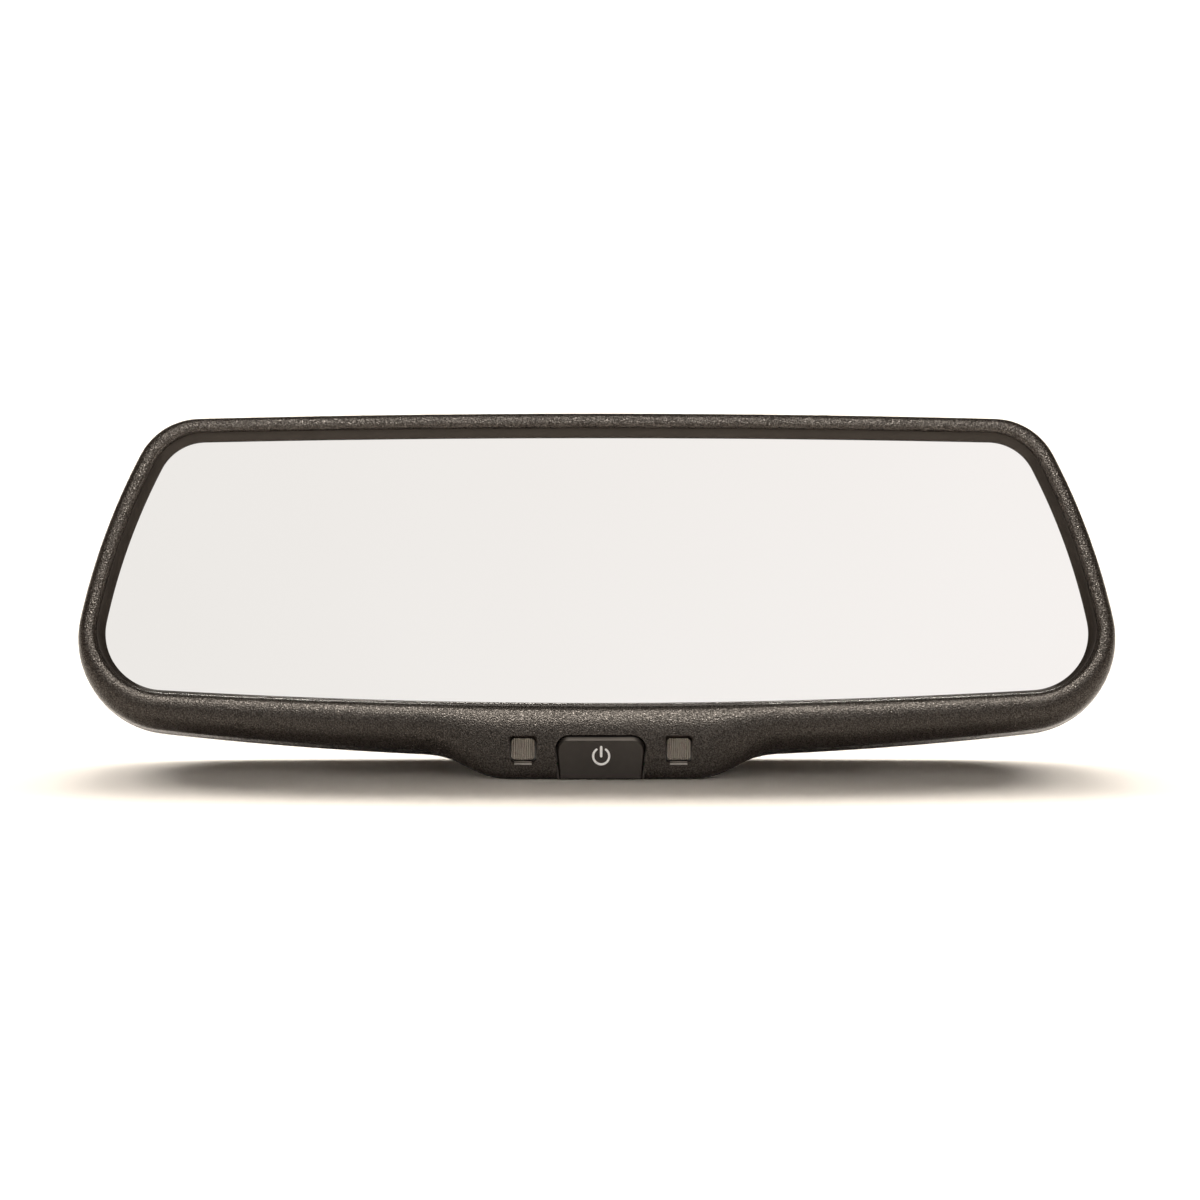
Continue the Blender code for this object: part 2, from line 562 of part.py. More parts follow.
# ---- The windscreen mount: its frame lies on the windscreen under the foot ball ------------------------------------
def make_mount(mount, foot_y, foot_z):
    stem = frame("foot_stem_frame", (0.0, foot_y - FRAME_Y, foot_z), 90.0 - FOOT_STEM_DROP)
    neck_angle = math.degrees(math.asin(NECK_RADIUS / BALL_RADIUS))
    profile = sphere_points(BALL_RADIUS, 0.0, 180.0 - neck_angle, 9)
    profile += [(NECK_RADIUS, -12.0), (5.6, -15.5), (5.6, -24.5), (0.0, -24.5)]
    stud = place("foot_ball_stud", turned(profile, ROUND), "zinc", stem)
    stud_cut = box(-20.0, 20.0, -40.0, 40.0, -30.0, 4.9)
    combine(stud, tool("stud_floor_cutter", stud_cut, mount), "DIFFERENCE")

    corners = ((SHOE_FRONT, 0.6), (SHOE_BACK, 0.6), (SHOE_BACK, 5.0), (SHOE_BACK - 4.0, SHOE_TOP),
               (SHOE_FRONT + 4.0, SHOE_TOP), (SHOE_FRONT, 4.4))
    rows = [[Vector((x, y - foot_y, z)) for y, z in corners] for x in (-SHOE_HALF, SHOE_HALF)]
    shoe = place("mount_shoe", loft(rows), "zinc", mount)
    grow = 0.35
    channel = [[Vector((x, y - foot_y, z)) for x, z in dovetail(grow)] for y in (SHOE_FRONT - 5.0, 121.6)]
    combine(shoe, tool("channel_cutter", loft(channel), mount), "DIFFERENCE")
    socket = turned([(0.0, -30.0), (5.95, -30.0), (5.95, -10.0), (0.0, -10.0)], ROUND)
    combine(shoe, tool("stud_socket_cutter", socket, stem), "DIFFERENCE")
    bore = rod(0.0, 3.0, 1.9, 120.0 - foot_y, SHOE_BACK + 2.0 - foot_y)
    combine(shoe, tool("set_screw_bore", bore, mount), "DIFFERENCE")

    rows = [[Vector((x, y - foot_y, z)) for x, z in dovetail(0.0)] for y in (107.5, 121.2)]
    place("windscreen_button", loft(rows), "steel", mount, smooth=False)
    screw_profile = [(0.0, 122.2 - foot_y), (1.0, 122.2 - foot_y), (1.6, 122.9 - foot_y), (1.6, SHOE_BACK - foot_y),
                     (0.0, SHOE_BACK - foot_y)]
    place("set_screw", turned(screw_profile, SMALL_ROUND, "Y", (0.0, 0.0, 3.0)), "dark_steel", mount)


def dovetail(grow):
    """Cross-section of the windscreen button, wider away from the glass; grow gives the channel."""
    low = 0.0 if grow == 0.0 else -2.0
    slope = 1.4 / 4.0
    edge = 8.6 + grow
    top = 4.0 + grow
    return ((-edge - slope * low, low), (edge + slope * low, low), (edge + slope * top, top), (-edge - slope * top, top))


def main():
    clear_scene()
    head = frame("head_frame", (0.0, -FRAME_Y, 0.0), -LEAN)
    make_bezel(head)
    make_housing(head)
    make_element(head)
    make_carrier(head)
    make_button(head)
    make_windows(head)
    make_electronics(head)
    make_head_mount(head)

    lean = Matrix.Rotation(math.radians(-LEAN), 3, "X")
    head_ball = lean @ HEAD_BALL
    drop = math.radians(ARM_DROP)
    foot_y = head_ball.y + ARM_LENGTH * math.cos(drop)
    foot_z = head_ball.z - ARM_LENGTH * math.sin(drop)
    arm = frame("arm_frame", (0.0, foot_y - FRAME_Y, foot_z), 90.0 - ARM_DROP)
    make_arm(arm)
    mount = frame("mount_frame", (0.0, foot_y - FRAME_Y, 0.0))
    make_mount(mount, foot_y, foot_z)


main()
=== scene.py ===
"""Visual model of an interior rear-view mirror: auto-dimming head, double-ball arm, windscreen mount.

Lengths are in millimetres unless a name ends in _m. The head's pieces are drawn in the head's own frame
(x across, y from the glass into the housing, z up the glass), the arm's along the line between its balls.
"""
import math
from collections import namedtuple

import bmesh
import bpy
from mathutils import Matrix, Vector


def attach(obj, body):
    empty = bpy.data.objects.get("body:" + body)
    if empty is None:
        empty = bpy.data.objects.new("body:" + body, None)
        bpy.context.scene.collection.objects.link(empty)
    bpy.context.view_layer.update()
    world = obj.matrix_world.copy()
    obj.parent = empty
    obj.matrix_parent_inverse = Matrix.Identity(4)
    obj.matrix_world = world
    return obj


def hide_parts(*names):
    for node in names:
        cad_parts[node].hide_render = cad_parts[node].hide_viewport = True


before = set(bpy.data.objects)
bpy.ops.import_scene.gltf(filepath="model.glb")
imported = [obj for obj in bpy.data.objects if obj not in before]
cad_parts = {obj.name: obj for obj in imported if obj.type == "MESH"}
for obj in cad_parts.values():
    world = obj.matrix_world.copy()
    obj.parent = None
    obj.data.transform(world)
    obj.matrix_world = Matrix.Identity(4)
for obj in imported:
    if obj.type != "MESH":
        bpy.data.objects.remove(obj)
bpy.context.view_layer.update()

MM = 0.001

# ---- The frame's own dimensions, as the CAD has them ------------------------
LEAN = 18.0                 # how far the head leans back, in degrees
FRAME_Y = 65.22             # distance from the frame's origin to the bottom of the glass's face
Outline = namedtuple(
    "Outline", "top_z top_radius side_x side_z side_radius bottom_z bottom_radius top_corner bottom_corner")
OUTER = Outline(95.0, 3770.0, -33.4, 7.9, 168.2, 7.4, 986.0, 17.1, 23.6)
INNER = Outline(88.8, 4450.0, -30.0, 10.0, 157.7, 19.9, 1833.0, 12.5, 15.0)
BACK = Outline(81.5, 3000.0, -300.0, 40.0, 402.0, 24.0, 1500.0, 14.0, 16.0)
BEZEL_DEPTH = 9.0
GAP = 0.3                   # between the bezel and the housing
HOUSING_DEPTH = 34.0
HOUSING_WALL = 2.2
CHIN_X = 1.0                # middle of the chin and its button
WINDOW_X = 19.7             # from the chin's middle to each window's
PORT_Z = 34.0               # height of the connector and the light pipe
SOCKET_X = -38.0
PIPE_X = 38.0
HEAD_BALL = Vector((0.0, 48.0, 62.0))
BALL_RADIUS = 7.5
NECK_RADIUS = 3.0
SOCKET_RADIUS = 9.6
MOUTH_RADIUS = 7.6          # the arm's opening round each ball's neck
MOUTH_REACH = 7.5
TUBE_RADIUS = 11.0
TUBE_BORE = 7.5
TUBE_WAIST = 9.4
ARM_LENGTH = 42.0           # between the balls' centres
ARM_DROP = math.radians(30.0)
FOOT_STEM_DROP = math.radians(50.0)

# ---- Where the visual model is nearer the photo than the CAD is -------------
CHIN_FLAT = 24.5            # half the chin's width along its flat bottom
CHIN_FOOT = 45.0            # and where it meets the bezel's lower edge
WINDOW_Z = 8.35
BUTTON_TOP = 11.5
BUTTON_HALF_TOP = 11.2
BUTTON_HALF_BOTTOM = 10.5
BUTTON_CORNER = 3.2

HEAD = Matrix.Translation((0.0, -FRAME_Y, 0.0)) @ Matrix.Rotation(math.radians(-LEAN), 4, "X")
HEAD_BALL_AT = HEAD @ HEAD_BALL
FOOT_BALL_AT = HEAD_BALL_AT + ARM_LENGTH * Vector((0.0, math.cos(ARM_DROP), -math.sin(ARM_DROP)))
ARM = Matrix.Translation(FOOT_BALL_AT) @ Matrix.Rotation(math.radians(90.0) - ARM_DROP, 4, "X")
STEM = Matrix.Translation(FOOT_BALL_AT) @ Matrix.Rotation(math.radians(90.0) - FOOT_STEM_DROP, 4, "X")
WORLD = Matrix.Identity(4)


# ---- Procedural materials ---------------------------------------------------
class Surface:
    """A procedural material. Its textures are placed in the object's own metres."""

    def __init__(self, name, colour, roughness, metallic=0.0, **sockets):
        self.material = bpy.data.materials.new(name)
        self.material.use_nodes = True
        self.nodes = self.material.node_tree.nodes
        self.links = self.material.node_tree.links
        self.shader = self.nodes["Principled BSDF"]
        self.shader.inputs["Base Color"].default_value = (*colour, 1.0)
        self.shader.inputs["Roughness"].default_value = roughness
        self.shader.inputs["Metallic"].default_value = metallic
        for label, value in sockets.items():
            self.shader.inputs[label.replace("_", " ")].default_value = value
        self.position = self.nodes.new("ShaderNodeTexCoord").outputs["Object"]

    def stretched(self, scale):
        """The position, scaled so that a texture runs along one axis."""
        node = self.nodes.new("ShaderNodeMapping")
        node.inputs["Scale"].default_value = scale
        self.links.new(self.position, node.inputs["Vector"])
        return node.outputs["Vector"]

    def noise(self, scale, detail=3.0, roughness=0.55, where=None):
        node = self.nodes.new("ShaderNodeTexNoise")
        node.inputs["Scale"].default_value = scale
        node.inputs["Detail"].default_value = detail
        node.inputs["Roughness"].default_value = roughness
        self.links.new(where or self.position, node.inputs["Vector"])
        return node.outputs["Fac"]

    def cells(self, scale, where=None, feature="F1"):
        node = self.nodes.new("ShaderNodeTexVoronoi")
        node.feature = feature
        node.inputs["Scale"].default_value = scale
        self.links.new(where or self.position, node.inputs["Vector"])
        return node.outputs["Distance"]

    def ramp(self, source, stops):
        node = self.nodes.new("ShaderNodeValToRGB")
        ramp = node.color_ramp
        while len(ramp.elements) < len(stops):
            ramp.elements.new(0.5)
        for element, (place, colour) in zip(ramp.elements, stops):
            element.position = place
            element.color = (*colour, 1.0)
        self.links.new(source, node.inputs["Fac"])
        return node.outputs["Color"]

    def feed(self, socket, value):
        """Sets a socket to a number, or links another node's output to it."""
        if isinstance(value, float):
            socket.default_value = value
        else:
            self.links.new(value, socket)

    def parted(self, vector, axis):
        node = self.nodes.new("ShaderNodeSeparateXYZ")
        self.links.new(vector, node.inputs["Vector"])
        return node.outputs[axis]

    def spread(self, source, start, end, low, high):
        """Maps the range from start to end onto the one from low to high."""
        node = self.nodes.new("ShaderNodeMapRange")
        node.inputs["From Min"].default_value = start
        node.inputs["From Max"].default_value = end
        node.inputs["To Min"].default_value = low
        self.feed(node.inputs["To Max"], high)
        self.links.new(source, node.inputs["Value"])
        return node.outputs["Result"]

    def tint(self, source, low, high, start=0.3, end=0.7):
        self.links.new(self.ramp(source, [(start, low), (end, high)]), self.shader.inputs["Base Color"])

    def gloss(self, source, low, high, start=0.3, end=0.7):
        self.links.new(self.spread(source, start, end, low, high), self.shader.inputs["Roughness"])

    def shine(self, source, low, high, start=0.3, end=0.7):
        level = self.shader.inputs["Specular IOR Level"]
        self.links.new(self.spread(source, start, end, low, high), level)

    def bump(self, source, depth_m, strength=1.0):
        """Adds a bump on top of those already there."""
        node = self.nodes.new("ShaderNodeBump")
        node.inputs["Distance"].default_value = depth_m
        self.feed(node.inputs["Strength"], strength)
        self.links.new(source, node.inputs["Height"])
        before = self.shader.inputs["Normal"]
        if before.is_linked:
            self.links.new(before.links[0].from_socket, node.inputs["Normal"])
        self.links.new(node.outputs["Normal"], before)


WARM = (1.0, 0.92, 0.85, 1.0)       # tint of the plastics' highlights


def grained_plastic():
    """Black-brown moulded plastic with a fine eroded grain, deeper higher up, and a painted highlight: its
    shine is stronger higher up.
    """
    s = Surface("grained_plastic", (0.018, 0.0142, 0.0118), 0.34, Specular_Tint=WARM)
    s.tint(s.noise(900.0, 4.0), (0.014, 0.0112, 0.0093), (0.023, 0.0182, 0.0152))
    s.gloss(s.noise(2100.0, 2.0), 0.22, 0.42)
    # The grain's bump and its shine both grow towards the top. The shine is a painted highlight: stronger on
    # the upper rolls, weaker on the chin.
    grain_and_sheen = s.spread(s.parted(s.position, "Z"), 0.018, 0.045, 0.55, 1.0)
    s.shine(s.noise(2900.0, 1.0), 0.22, s.spread(grain_and_sheen, 0.55, 1.0, 0.72, 1.0), 0.40, 0.62)
    s.bump(s.cells(2500.0), 0.00009, grain_and_sheen)
    s.bump(s.noise(3100.0, 2.0), 0.00006, grain_and_sheen)
    return s.material


def lip_plastic():
    """The smoother plastic of the lip round the glass and of the cut edges."""
    s = Surface("lip_plastic", (0.014, 0.0105, 0.0085), 0.42, Specular_Tint=WARM, Specular_IOR_Level=0.36)
    s.tint(s.noise(240.0, 5.0), (0.012, 0.009, 0.0072), (0.017, 0.013, 0.0105))
    s.gloss(s.noise(70.0), 0.38, 0.48)
    s.bump(s.noise(2600.0, 3.0), 0.00003, 0.2)
    return s.material


def button_plastic():
    s = Surface("button_plastic", (0.0145, 0.0115, 0.0098), 0.34, Specular_Tint=WARM)
    s.tint(s.noise(500.0, 5.0), (0.012, 0.0095, 0.0081), (0.0175, 0.0138, 0.0118))
    s.gloss(s.noise(90.0, 5.0), 0.30, 0.38)
    s.bump(s.noise(3200.0, 3.0), 0.00002, 0.2)
    return s.material


def symbol_paint():
    """Translucent white print with a faint painted glow that brightens it."""
    # The emission is a painted glow: the print gives off light, though no lamp is in it.
    s = Surface("symbol_paint", (0.78, 0.76, 0.73), 0.5, Emission_Color=(1.0, 0.96, 0.92, 1.0),
                Emission_Strength=0.22)
    s.tint(s.noise(1800.0, 4.0), (0.72, 0.70, 0.67), (0.84, 0.82, 0.79))
    s.bump(s.noise(5200.0, 2.0), 0.00002, 0.4)
    return s.material


def smoked_lens():
    s = Surface("smoked_lens", (0.38, 0.34, 0.29), 0.30, Coat_Weight=0.4, Coat_Roughness=0.12)
    s.tint(s.noise(300.0, 3.0), (0.35, 0.314, 0.274), (0.41, 0.371, 0.328))
    s.gloss(s.noise(800.0), 0.24, 0.36)
    return s.material


def clear_glass():
    s = Surface("clear_glass", (0.965, 0.985, 0.975), 0.0, Transmission_Weight=1.0, IOR=1.52)
    s.gloss(s.noise(22.0, 6.0, 0.7), 0.0, 0.012, 0.55, 0.8)
    return s.material


def mirror_coat():
    s = Surface("mirror_coat", (0.93, 0.925, 0.915), 0.015, 1.0)
    s.tint(s.noise(9.0, 2.0), (0.925, 0.918, 0.908), (0.94, 0.936, 0.928))
    s.gloss(s.noise(30.0, 5.0), 0.008, 0.02)
    return s.material


def liner_plastic():
    s = Surface("liner_plastic", (0.62, 0.60, 0.54), 0.42, Subsurface_Weight=0.15, Subsurface_Scale=0.002)
    s.tint(s.noise(300.0, 4.0), (0.56, 0.54, 0.48), (0.66, 0.64, 0.58))
    s.gloss(s.noise(90.0), 0.34, 0.5)
    s.bump(s.noise(1500.0), 0.00003, 0.3)
    return s.material


def inner_plastic():
    s = Surface("inner_plastic", (0.045, 0.045, 0.047), 0.5)
    s.tint(s.noise(200.0, 4.0), (0.035, 0.035, 0.037), (0.058, 0.058, 0.060))
    s.gloss(s.noise(60.0), 0.42, 0.58)
    s.bump(s.noise(1600.0, 3.0), 0.00004, 0.4)
    return s.material


def foam():
    s = Surface("foam", (0.08, 0.08, 0.085), 0.95)
    s.tint(s.cells(2400.0), (0.045, 0.045, 0.05), (0.12, 0.12, 0.125), 0.1, 0.6)
    s.bump(s.cells(2400.0), 0.0002, 0.8)
    return s.material


def seal_epoxy():
    s = Surface("seal_epoxy", (0.28, 0.27, 0.24), 0.5)
    s.tint(s.noise(400.0), (0.24, 0.23, 0.20), (0.33, 0.32, 0.28))
    s.bump(s.noise(700.0), 0.00008, 0.4)
    return s.material


def circuit_board():
    """Green solder mask over straight copper tracks."""
    s = Surface("circuit_board", (0.015, 0.10, 0.035), 0.35, Coat_Weight=0.4, Coat_Roughness=0.15)
    tracks = s.cells(260.0, s.stretched((1.0, 0.12, 0.12)), "DISTANCE_TO_EDGE")
    greens = [(0.0, (0.04, 0.20, 0.06)), (0.12, (0.012, 0.085, 0.03)), (1.0, (0.01, 0.07, 0.025))]
    s.links.new(s.ramp(tracks, greens), s.shader.inputs["Base Color"])
    s.gloss(s.noise(900.0), 0.28, 0.42)
    s.bump(tracks, 0.00008, 0.5)
    return s.material


def plated_steel():
    """Zinc-plated steel, brushed along x."""
    s = Surface("plated_steel", (0.56, 0.56, 0.57), 0.32, 1.0)
    s.tint(s.noise(160.0, 6.0), (0.47, 0.47, 0.48), (0.63, 0.63, 0.635))
    s.gloss(s.noise(300.0, 5.0, 0.6, s.stretched((1.0, 0.08, 0.08))), 0.24, 0.44)
    s.bump(s.noise(2200.0, 3.0, 0.6, s.stretched((1.0, 0.1, 0.1))), 0.00002, 0.5)
    return s.material


def black_steel():
    s = Surface("black_steel", (0.06, 0.06, 0.065), 0.38, 0.9)
    s.tint(s.noise(700.0, 5.0), (0.04, 0.04, 0.043), (0.10, 0.10, 0.105))
    s.gloss(s.noise(400.0), 0.30, 0.48)
    s.bump(s.noise(2600.0), 0.00003, 0.4)
    return s.material


def cast_zinc():
    s = Surface("cast_zinc", (0.40, 0.40, 0.41), 0.45, 1.0)
    s.tint(s.noise(220.0, 6.0), (0.30, 0.30, 0.31), (0.48, 0.48, 0.49))
    s.gloss(s.noise(500.0, 4.0), 0.36, 0.56)
    s.bump(s.noise(1400.0, 4.0, 0.6), 0.00006, 0.5)
    return s.material


def light_pipe():
    """Clear acrylic of the light pipe, the LED and the sensor behind it."""
    s = Surface("light_pipe", (0.92, 0.94, 0.95), 0.08, Transmission_Weight=0.9, IOR=1.49)
    s.gloss(s.noise(600.0), 0.04, 0.16)
    return s.material


FINISHES = {
    "grained": grained_plastic(),
    "lip": lip_plastic(),
    "button": button_plastic(),
    "symbol": symbol_paint(),
    "lens": smoked_lens(),
    "glass": clear_glass(),
    "mirror": mirror_coat(),
    "liner": liner_plastic(),
    "inner": inner_plastic(),
    "foam": foam(),
    "seal": seal_epoxy(),
    "board": circuit_board(),
    "steel": plated_steel(),
    "black_steel": black_steel(),
    "zinc": cast_zinc(),
    "clear": light_pipe(),
}


# ---- Building pieces --------------------------------------------------------
SHARP_EDGE = 35.0           # edges that turn further than this, in degrees, are drawn sharp


def piece(name, shape, finishes, body, matrix=HEAD, stands_for=(), sharp=SHARP_EDGE):
    """Turns a bmesh in millimetres into a piece of the object that rides on a body.

    finishes are names of FINISHES with spaces between, and stands_for are the CAD nodes it replaces.
    """
    bmesh.ops.recalc_face_normals(shape, faces=shape.faces)
    mesh = bpy.data.meshes.new(name)
    shape.transform(Matrix.Scale(MM, 4) @ matrix)
    shape.to_mesh(mesh)
    shape.free()
    for finish in finishes.split():
        mesh.materials.append(FINISHES[finish])
    mesh.shade_smooth()
    mesh.set_sharp_from_angle(angle=math.radians(sharp))
    item = bpy.data.objects.new(name, mesh)
    bpy.context.scene.collection.objects.link(item)
    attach(item, body)
    if stands_for:
        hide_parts(*stands_for)
    return item


def cut(item, shape, matrix=HEAD, finish=None):
    """Cuts a shape, in millimetres, out of a piece; a finish is that of the cut faces."""
    bmesh.ops.recalc_face_normals(shape, faces=shape.faces)
    mesh = bpy.data.meshes.new("cutter")
    shape.transform(Matrix.Scale(MM, 4) @ matrix)
    shape.to_mesh(mesh)
    shape.free()
    cutter = bpy.data.objects.new("cutter", mesh)
    bpy.context.scene.collection.objects.link(cutter)
    step = item.modifiers.new("cut", "BOOLEAN")
    step.operation = "DIFFERENCE"
    step.solver = "EXACT"
    step.object = cutter
    if finish:
        mesh.materials.append(FINISHES[finish])
        step.material_mode = "TRANSFER"
    graph = bpy.context.evaluated_depsgraph_get()
    result = bpy.data.meshes.new_from_object(item.evaluated_get(graph))
    item.modifiers.clear()
    bpy.data.objects.remove(cutter)
    result.name = item.data.name
    item.data = result
    result.shade_smooth()
    result.set_sharp_from_angle(angle=math.radians(SHARP_EDGE))


def loft(rows, ring=False, materials=None):
    """Skin over rows of points. A ring joins its last row to its first; otherwise both ends are filled."""
    shape = bmesh.new()
    lines = [[shape.verts.new(point) for point in row] for row in rows]
    pairs = list(zip(lines, lines[1:]))
    if ring:
        pairs.append((lines[-1], lines[0]))
    else:
        shape.faces.new(lines[0])
        shape.faces.new(lines[-1])
    for k, (near, far) in enumerate(pairs):
        for i in range(len(near)):
            j = (i + 1) % len(near)
            face = shape.faces.new((near[i], near[j], far[j], far[i]))
            if materials:
                face.material_index = materials[k]
    return shape


def turned(profile, sides=64, along="Z", centre=(0.0, 0.0, 0.0), ring=False):
    """Turns (radius, height) points about an axis through centre. A zero radius closes an end."""
    turn = Matrix.Rotation(math.radians(-90.0), 3, "X") if along == "Y" else Matrix.Identity(3)
    shape = bmesh.new()
    rows = []
    for radius, height in profile:
        count = 1 if radius == 0.0 else sides
        angles = [2.0 * math.pi * k / sides for k in range(count)]
        points = [Vector((radius * math.cos(a), radius * math.sin(a), height)) for a in angles]
        rows.append([shape.verts.new(turn @ point + Vector(centre)) for point in points])
    pairs = list(zip(rows, rows[1:]))
    if ring:
        pairs.append((rows[-1], rows[0]))
    for near, far in pairs:
        for k in range(sides):
            quad = [near[k % len(near)], near[(k + 1) % len(near)]]
            quad += [far[(k + 1) % len(far)], far[k % len(far)]]
            shape.faces.new(list(dict.fromkeys(quad)))
    return shape


def block(x_low, x_high, y_low, y_high, z_low, z_high, round_by=0.0):
    """A box, with its edges rounded when round_by is given."""
    corners = ((x_low, z_low), (x_high, z_low), (x_high, z_high), (x_low, z_high))
    shape = loft([[Vector((x, y, z)) for x, z in corners] for y in (y_low, y_high)])
    if round_by:
        bmesh.ops.recalc_face_normals(shape, faces=shape.faces)
        edges = list(shape.edges)
        bmesh.ops.bevel(shape, geom=edges, offset=round_by, segments=2, profile=0.5, affect="EDGES")
    return shape


def joined(shapes):
    """One bmesh with every shape in it, each still a closed skin of its own."""
    whole = bmesh.new()
    for shape in shapes:
        mesh = bpy.data.meshes.new("part")
        shape.to_mesh(mesh)
        shape.free()
        whole.from_mesh(mesh)
        bpy.data.meshes.remove(mesh)
    return whole


def sphere_points(radius, start, end, count, centre=0.0):
    """(radius, height) points on a sphere, from angle start to end, measured from its +height pole."""
    points = []
    for k in range(count + 1):
        angle = math.radians(start + (end - start) * k / count)
        across = math.sin(angle) if abs(math.sin(angle)) > 1e-6 else 0.0
        points.append((radius * across, centre + radius * math.cos(angle)))
    return points


# ---- The head's outlines ----------------------------------------------------
FINE = 4                    # points here for each point of the CAD's outlines


def corner_centre(centre_a, reach_a, centre_b, reach_b):
    """The point at reach_a from one centre and reach_b from the other, on the +x side."""
    span = centre_b - centre_a
    along = (reach_a ** 2 - reach_b ** 2 + span.length_squared) / (2.0 * span.length)
    aside = math.sqrt(reach_a ** 2 - along ** 2)
    middle = centre_a + span.normalized() * along
    normal = Vector((-span.y, span.x)).normalized() * aside
    return max((middle + normal, middle - normal), key=lambda point: point.x)


def arc(centre, radius, start, end, count):
    """Points after the first on an arc between two directions, given as vectors."""
    first = math.atan2(start.y, start.x)
    last = math.atan2(end.y, end.x)
    angles = [first + (last - first) * k / count for k in range(1, count + 1)]
    return [centre + Vector((math.cos(a), math.sin(a))) * radius for a in angles]


def half_outline(shape, grow):
    """The +x half of an outline offset outwards by grow, from top centre to bottom centre."""
    top = Vector((0.0, shape.top_z - shape.top_radius))
    side = Vector((shape.side_x, shape.side_z))
    bottom = Vector((0.0, shape.bottom_z + shape.bottom_radius))
    corner = shape.top_corner
    upper = corner_centre(top, shape.top_radius - corner, side, shape.side_radius - corner)
    corner = shape.bottom_corner
    lower = corner_centre(bottom, shape.bottom_radius - corner, side, shape.side_radius - corner)
    points = [Vector((0.0, shape.top_z + grow))]
    points += arc(top, shape.top_radius + grow, Vector((0.0, 1.0)), upper - top, 4 * FINE)
    points += arc(upper, shape.top_corner + grow, upper - top, upper - side, 5 * FINE)
    points += arc(side, shape.side_radius + grow, upper - side, lower - side, 6 * FINE)
    points += arc(lower, shape.bottom_corner + grow, lower - side, lower - bottom, 6 * FINE)
    foot = CHIN_FOOT + 2.0
    flat = CHIN_FLAT - 1.0
    reach = shape.bottom_radius + grow
    for start, end, count in ((points[-1].x, foot, 3), (foot, flat, 7), (flat, 0.0, 3)):
        for k in range(1, count * FINE + 1):
            x = start + (end - start) * k / (count * FINE)
            points.append(Vector((x, bottom.y - math.sqrt(reach ** 2 - x ** 2))))
    return points


def outline(shape, grow):
    """A closed outline offset outwards by grow, as (x, z) points."""
    half = half_outline(shape, grow)
    return half + [Vector((-point.x, point.y)) for point in half[-2:0:-1]]


def smooth_step(value):
    """0 below 0, 1 above 1, and an S-curve between."""
    value = min(max(value, 0.0), 1.0)
    return value * value * (3.0 - 2.0 * value)


def chin_share(point):
    """How much of the chin a point of an outline has: 1 along its flat edge, falling to 0 in an S-curve."""
    if point.y >= 30.0:
        return 0.0
    return smooth_step((CHIN_FOOT - abs(point.x - CHIN_X)) / (CHIN_FOOT - CHIN_FLAT))


def with_chin(loop, chin_z, amount=1.0):
    """An outline whose bottom is drawn down to the height chin_z along the chin."""
    return [Vector((p.x, p.y + (chin_z - p.y) * chin_share(p) * amount)) for p in loop]


def mixed(loop_a, loop_b, share):
    """An outline a share of the way from one to another."""
    return [a.lerp(b, share) for a, b in zip(loop_a, loop_b)]


def at_depth(loop, y):
    """An outline's (x, z) points as points of the head, at depth y."""
    return [Vector((p.x, y, p.y)) for p in loop]


def under_chin(y):
    """Height of the resting plane in the leaning head's own frame."""
    return y * math.tan(math.radians(LEAN))


# ---- Bezel: a smooth lip round the glass and a grained roll outside it -------
LIP_TOP = 2.3               # width of the lip above the glass and beside it
LIP_BOTTOM = 0.15           # and below it
LIP_EDGE_Y = 1.9            # depth where the lip meets the roll
LIP_BACK_Y = 3.4            # depth of the lip's back, just in front of the glass
SIDE_START = 19.0           # height where the wider lip beside the glass begins to come in
SIDE_RISE = 22.0            # and how much higher it is all there
CREST_TOP = 0.42            # share of the roll's width inside its crest, above and beside the glass
CREST_BOTTOM = 0.28         # and below it
ROLL_DEPTH = 4.6            # from the crest to where the roll meets the bezel's side
CHIN_EDGE = 1.1             # height of the chin's lower front edge
CHIN_ROUND = 0.94           # share of the way down the chin where that edge starts to round


def sideness(z):
    """0 below the glass and 1 beside and above it."""
    return smooth_step((z - SIDE_START) / SIDE_RISE)


def blended(below, beside):
    """An outline that follows one loop below the glass and another beside and above it."""
    return [a.lerp(b, sideness(a.y)) for a, b in zip(below, beside)]


def lip_edge(extra=0.0):
    """The line where the lip meets the roll."""
    return blended(outline(INNER, LIP_BOTTOM + extra), outline(INNER, LIP_TOP + extra))


def glass_edge(grow):
    """The edge of the opening round the glass, which stands a little higher along the bottom."""
    return blended(outline(INNER, grow - 0.5), outline(INNER, grow))


def crest_inside(share, crest, low):
    """Depth on the side of the crest that falls to the lip, in a rounder curve below the glass."""
    inward = 1.0 - share / crest
    soft = 0.12 + 0.22 * low
    return LIP_EDGE_Y * (soft * inward ** 2 + (1.0 - soft) * inward ** 8)


def roll_depth(share, low):
    """Depth of the bezel's front at a share of the way from lip to outer edge; low is 1 below the glass."""
    crest = CREST_TOP + (CREST_BOTTOM - CREST_TOP) * low
    if share < crest:
        return crest_inside(share, crest, low)
    outward = (share - crest) / (1.0 - crest)
    dome = 0.8 + 1.8 * low
    return dome * outward ** 2 + (ROLL_DEPTH - dome) * (1.0 - math.sqrt(max(1.0 - outward ** 6, 0.0)))


def chin_depth(share):
    """The same across the chin, whose face leans gently away down to a small rounded edge."""
    if share < CREST_BOTTOM:
        return crest_inside(share, CREST_BOTTOM, 1.0)
    edge = max((share - CHIN_ROUND) / (1.0 - CHIN_ROUND), 0.0)
    fall = 2.4 * ((share - CREST_BOTTOM) / (1.0 - CREST_BOTTOM)) ** 1.6
    return fall + 1.0 - math.sqrt(max(1.0 - edge ** 2, 0.0))


def roll_shares():
    """Shares from the outer edge to the lip, closest together where the profile turns fastest."""
    half = [1.0 - math.cos(math.radians(5.0 * k)) for k in range(19)]
    return [1.0 - 0.5 * share for share in half] + [0.5 * share for share in half[-2::-1]]


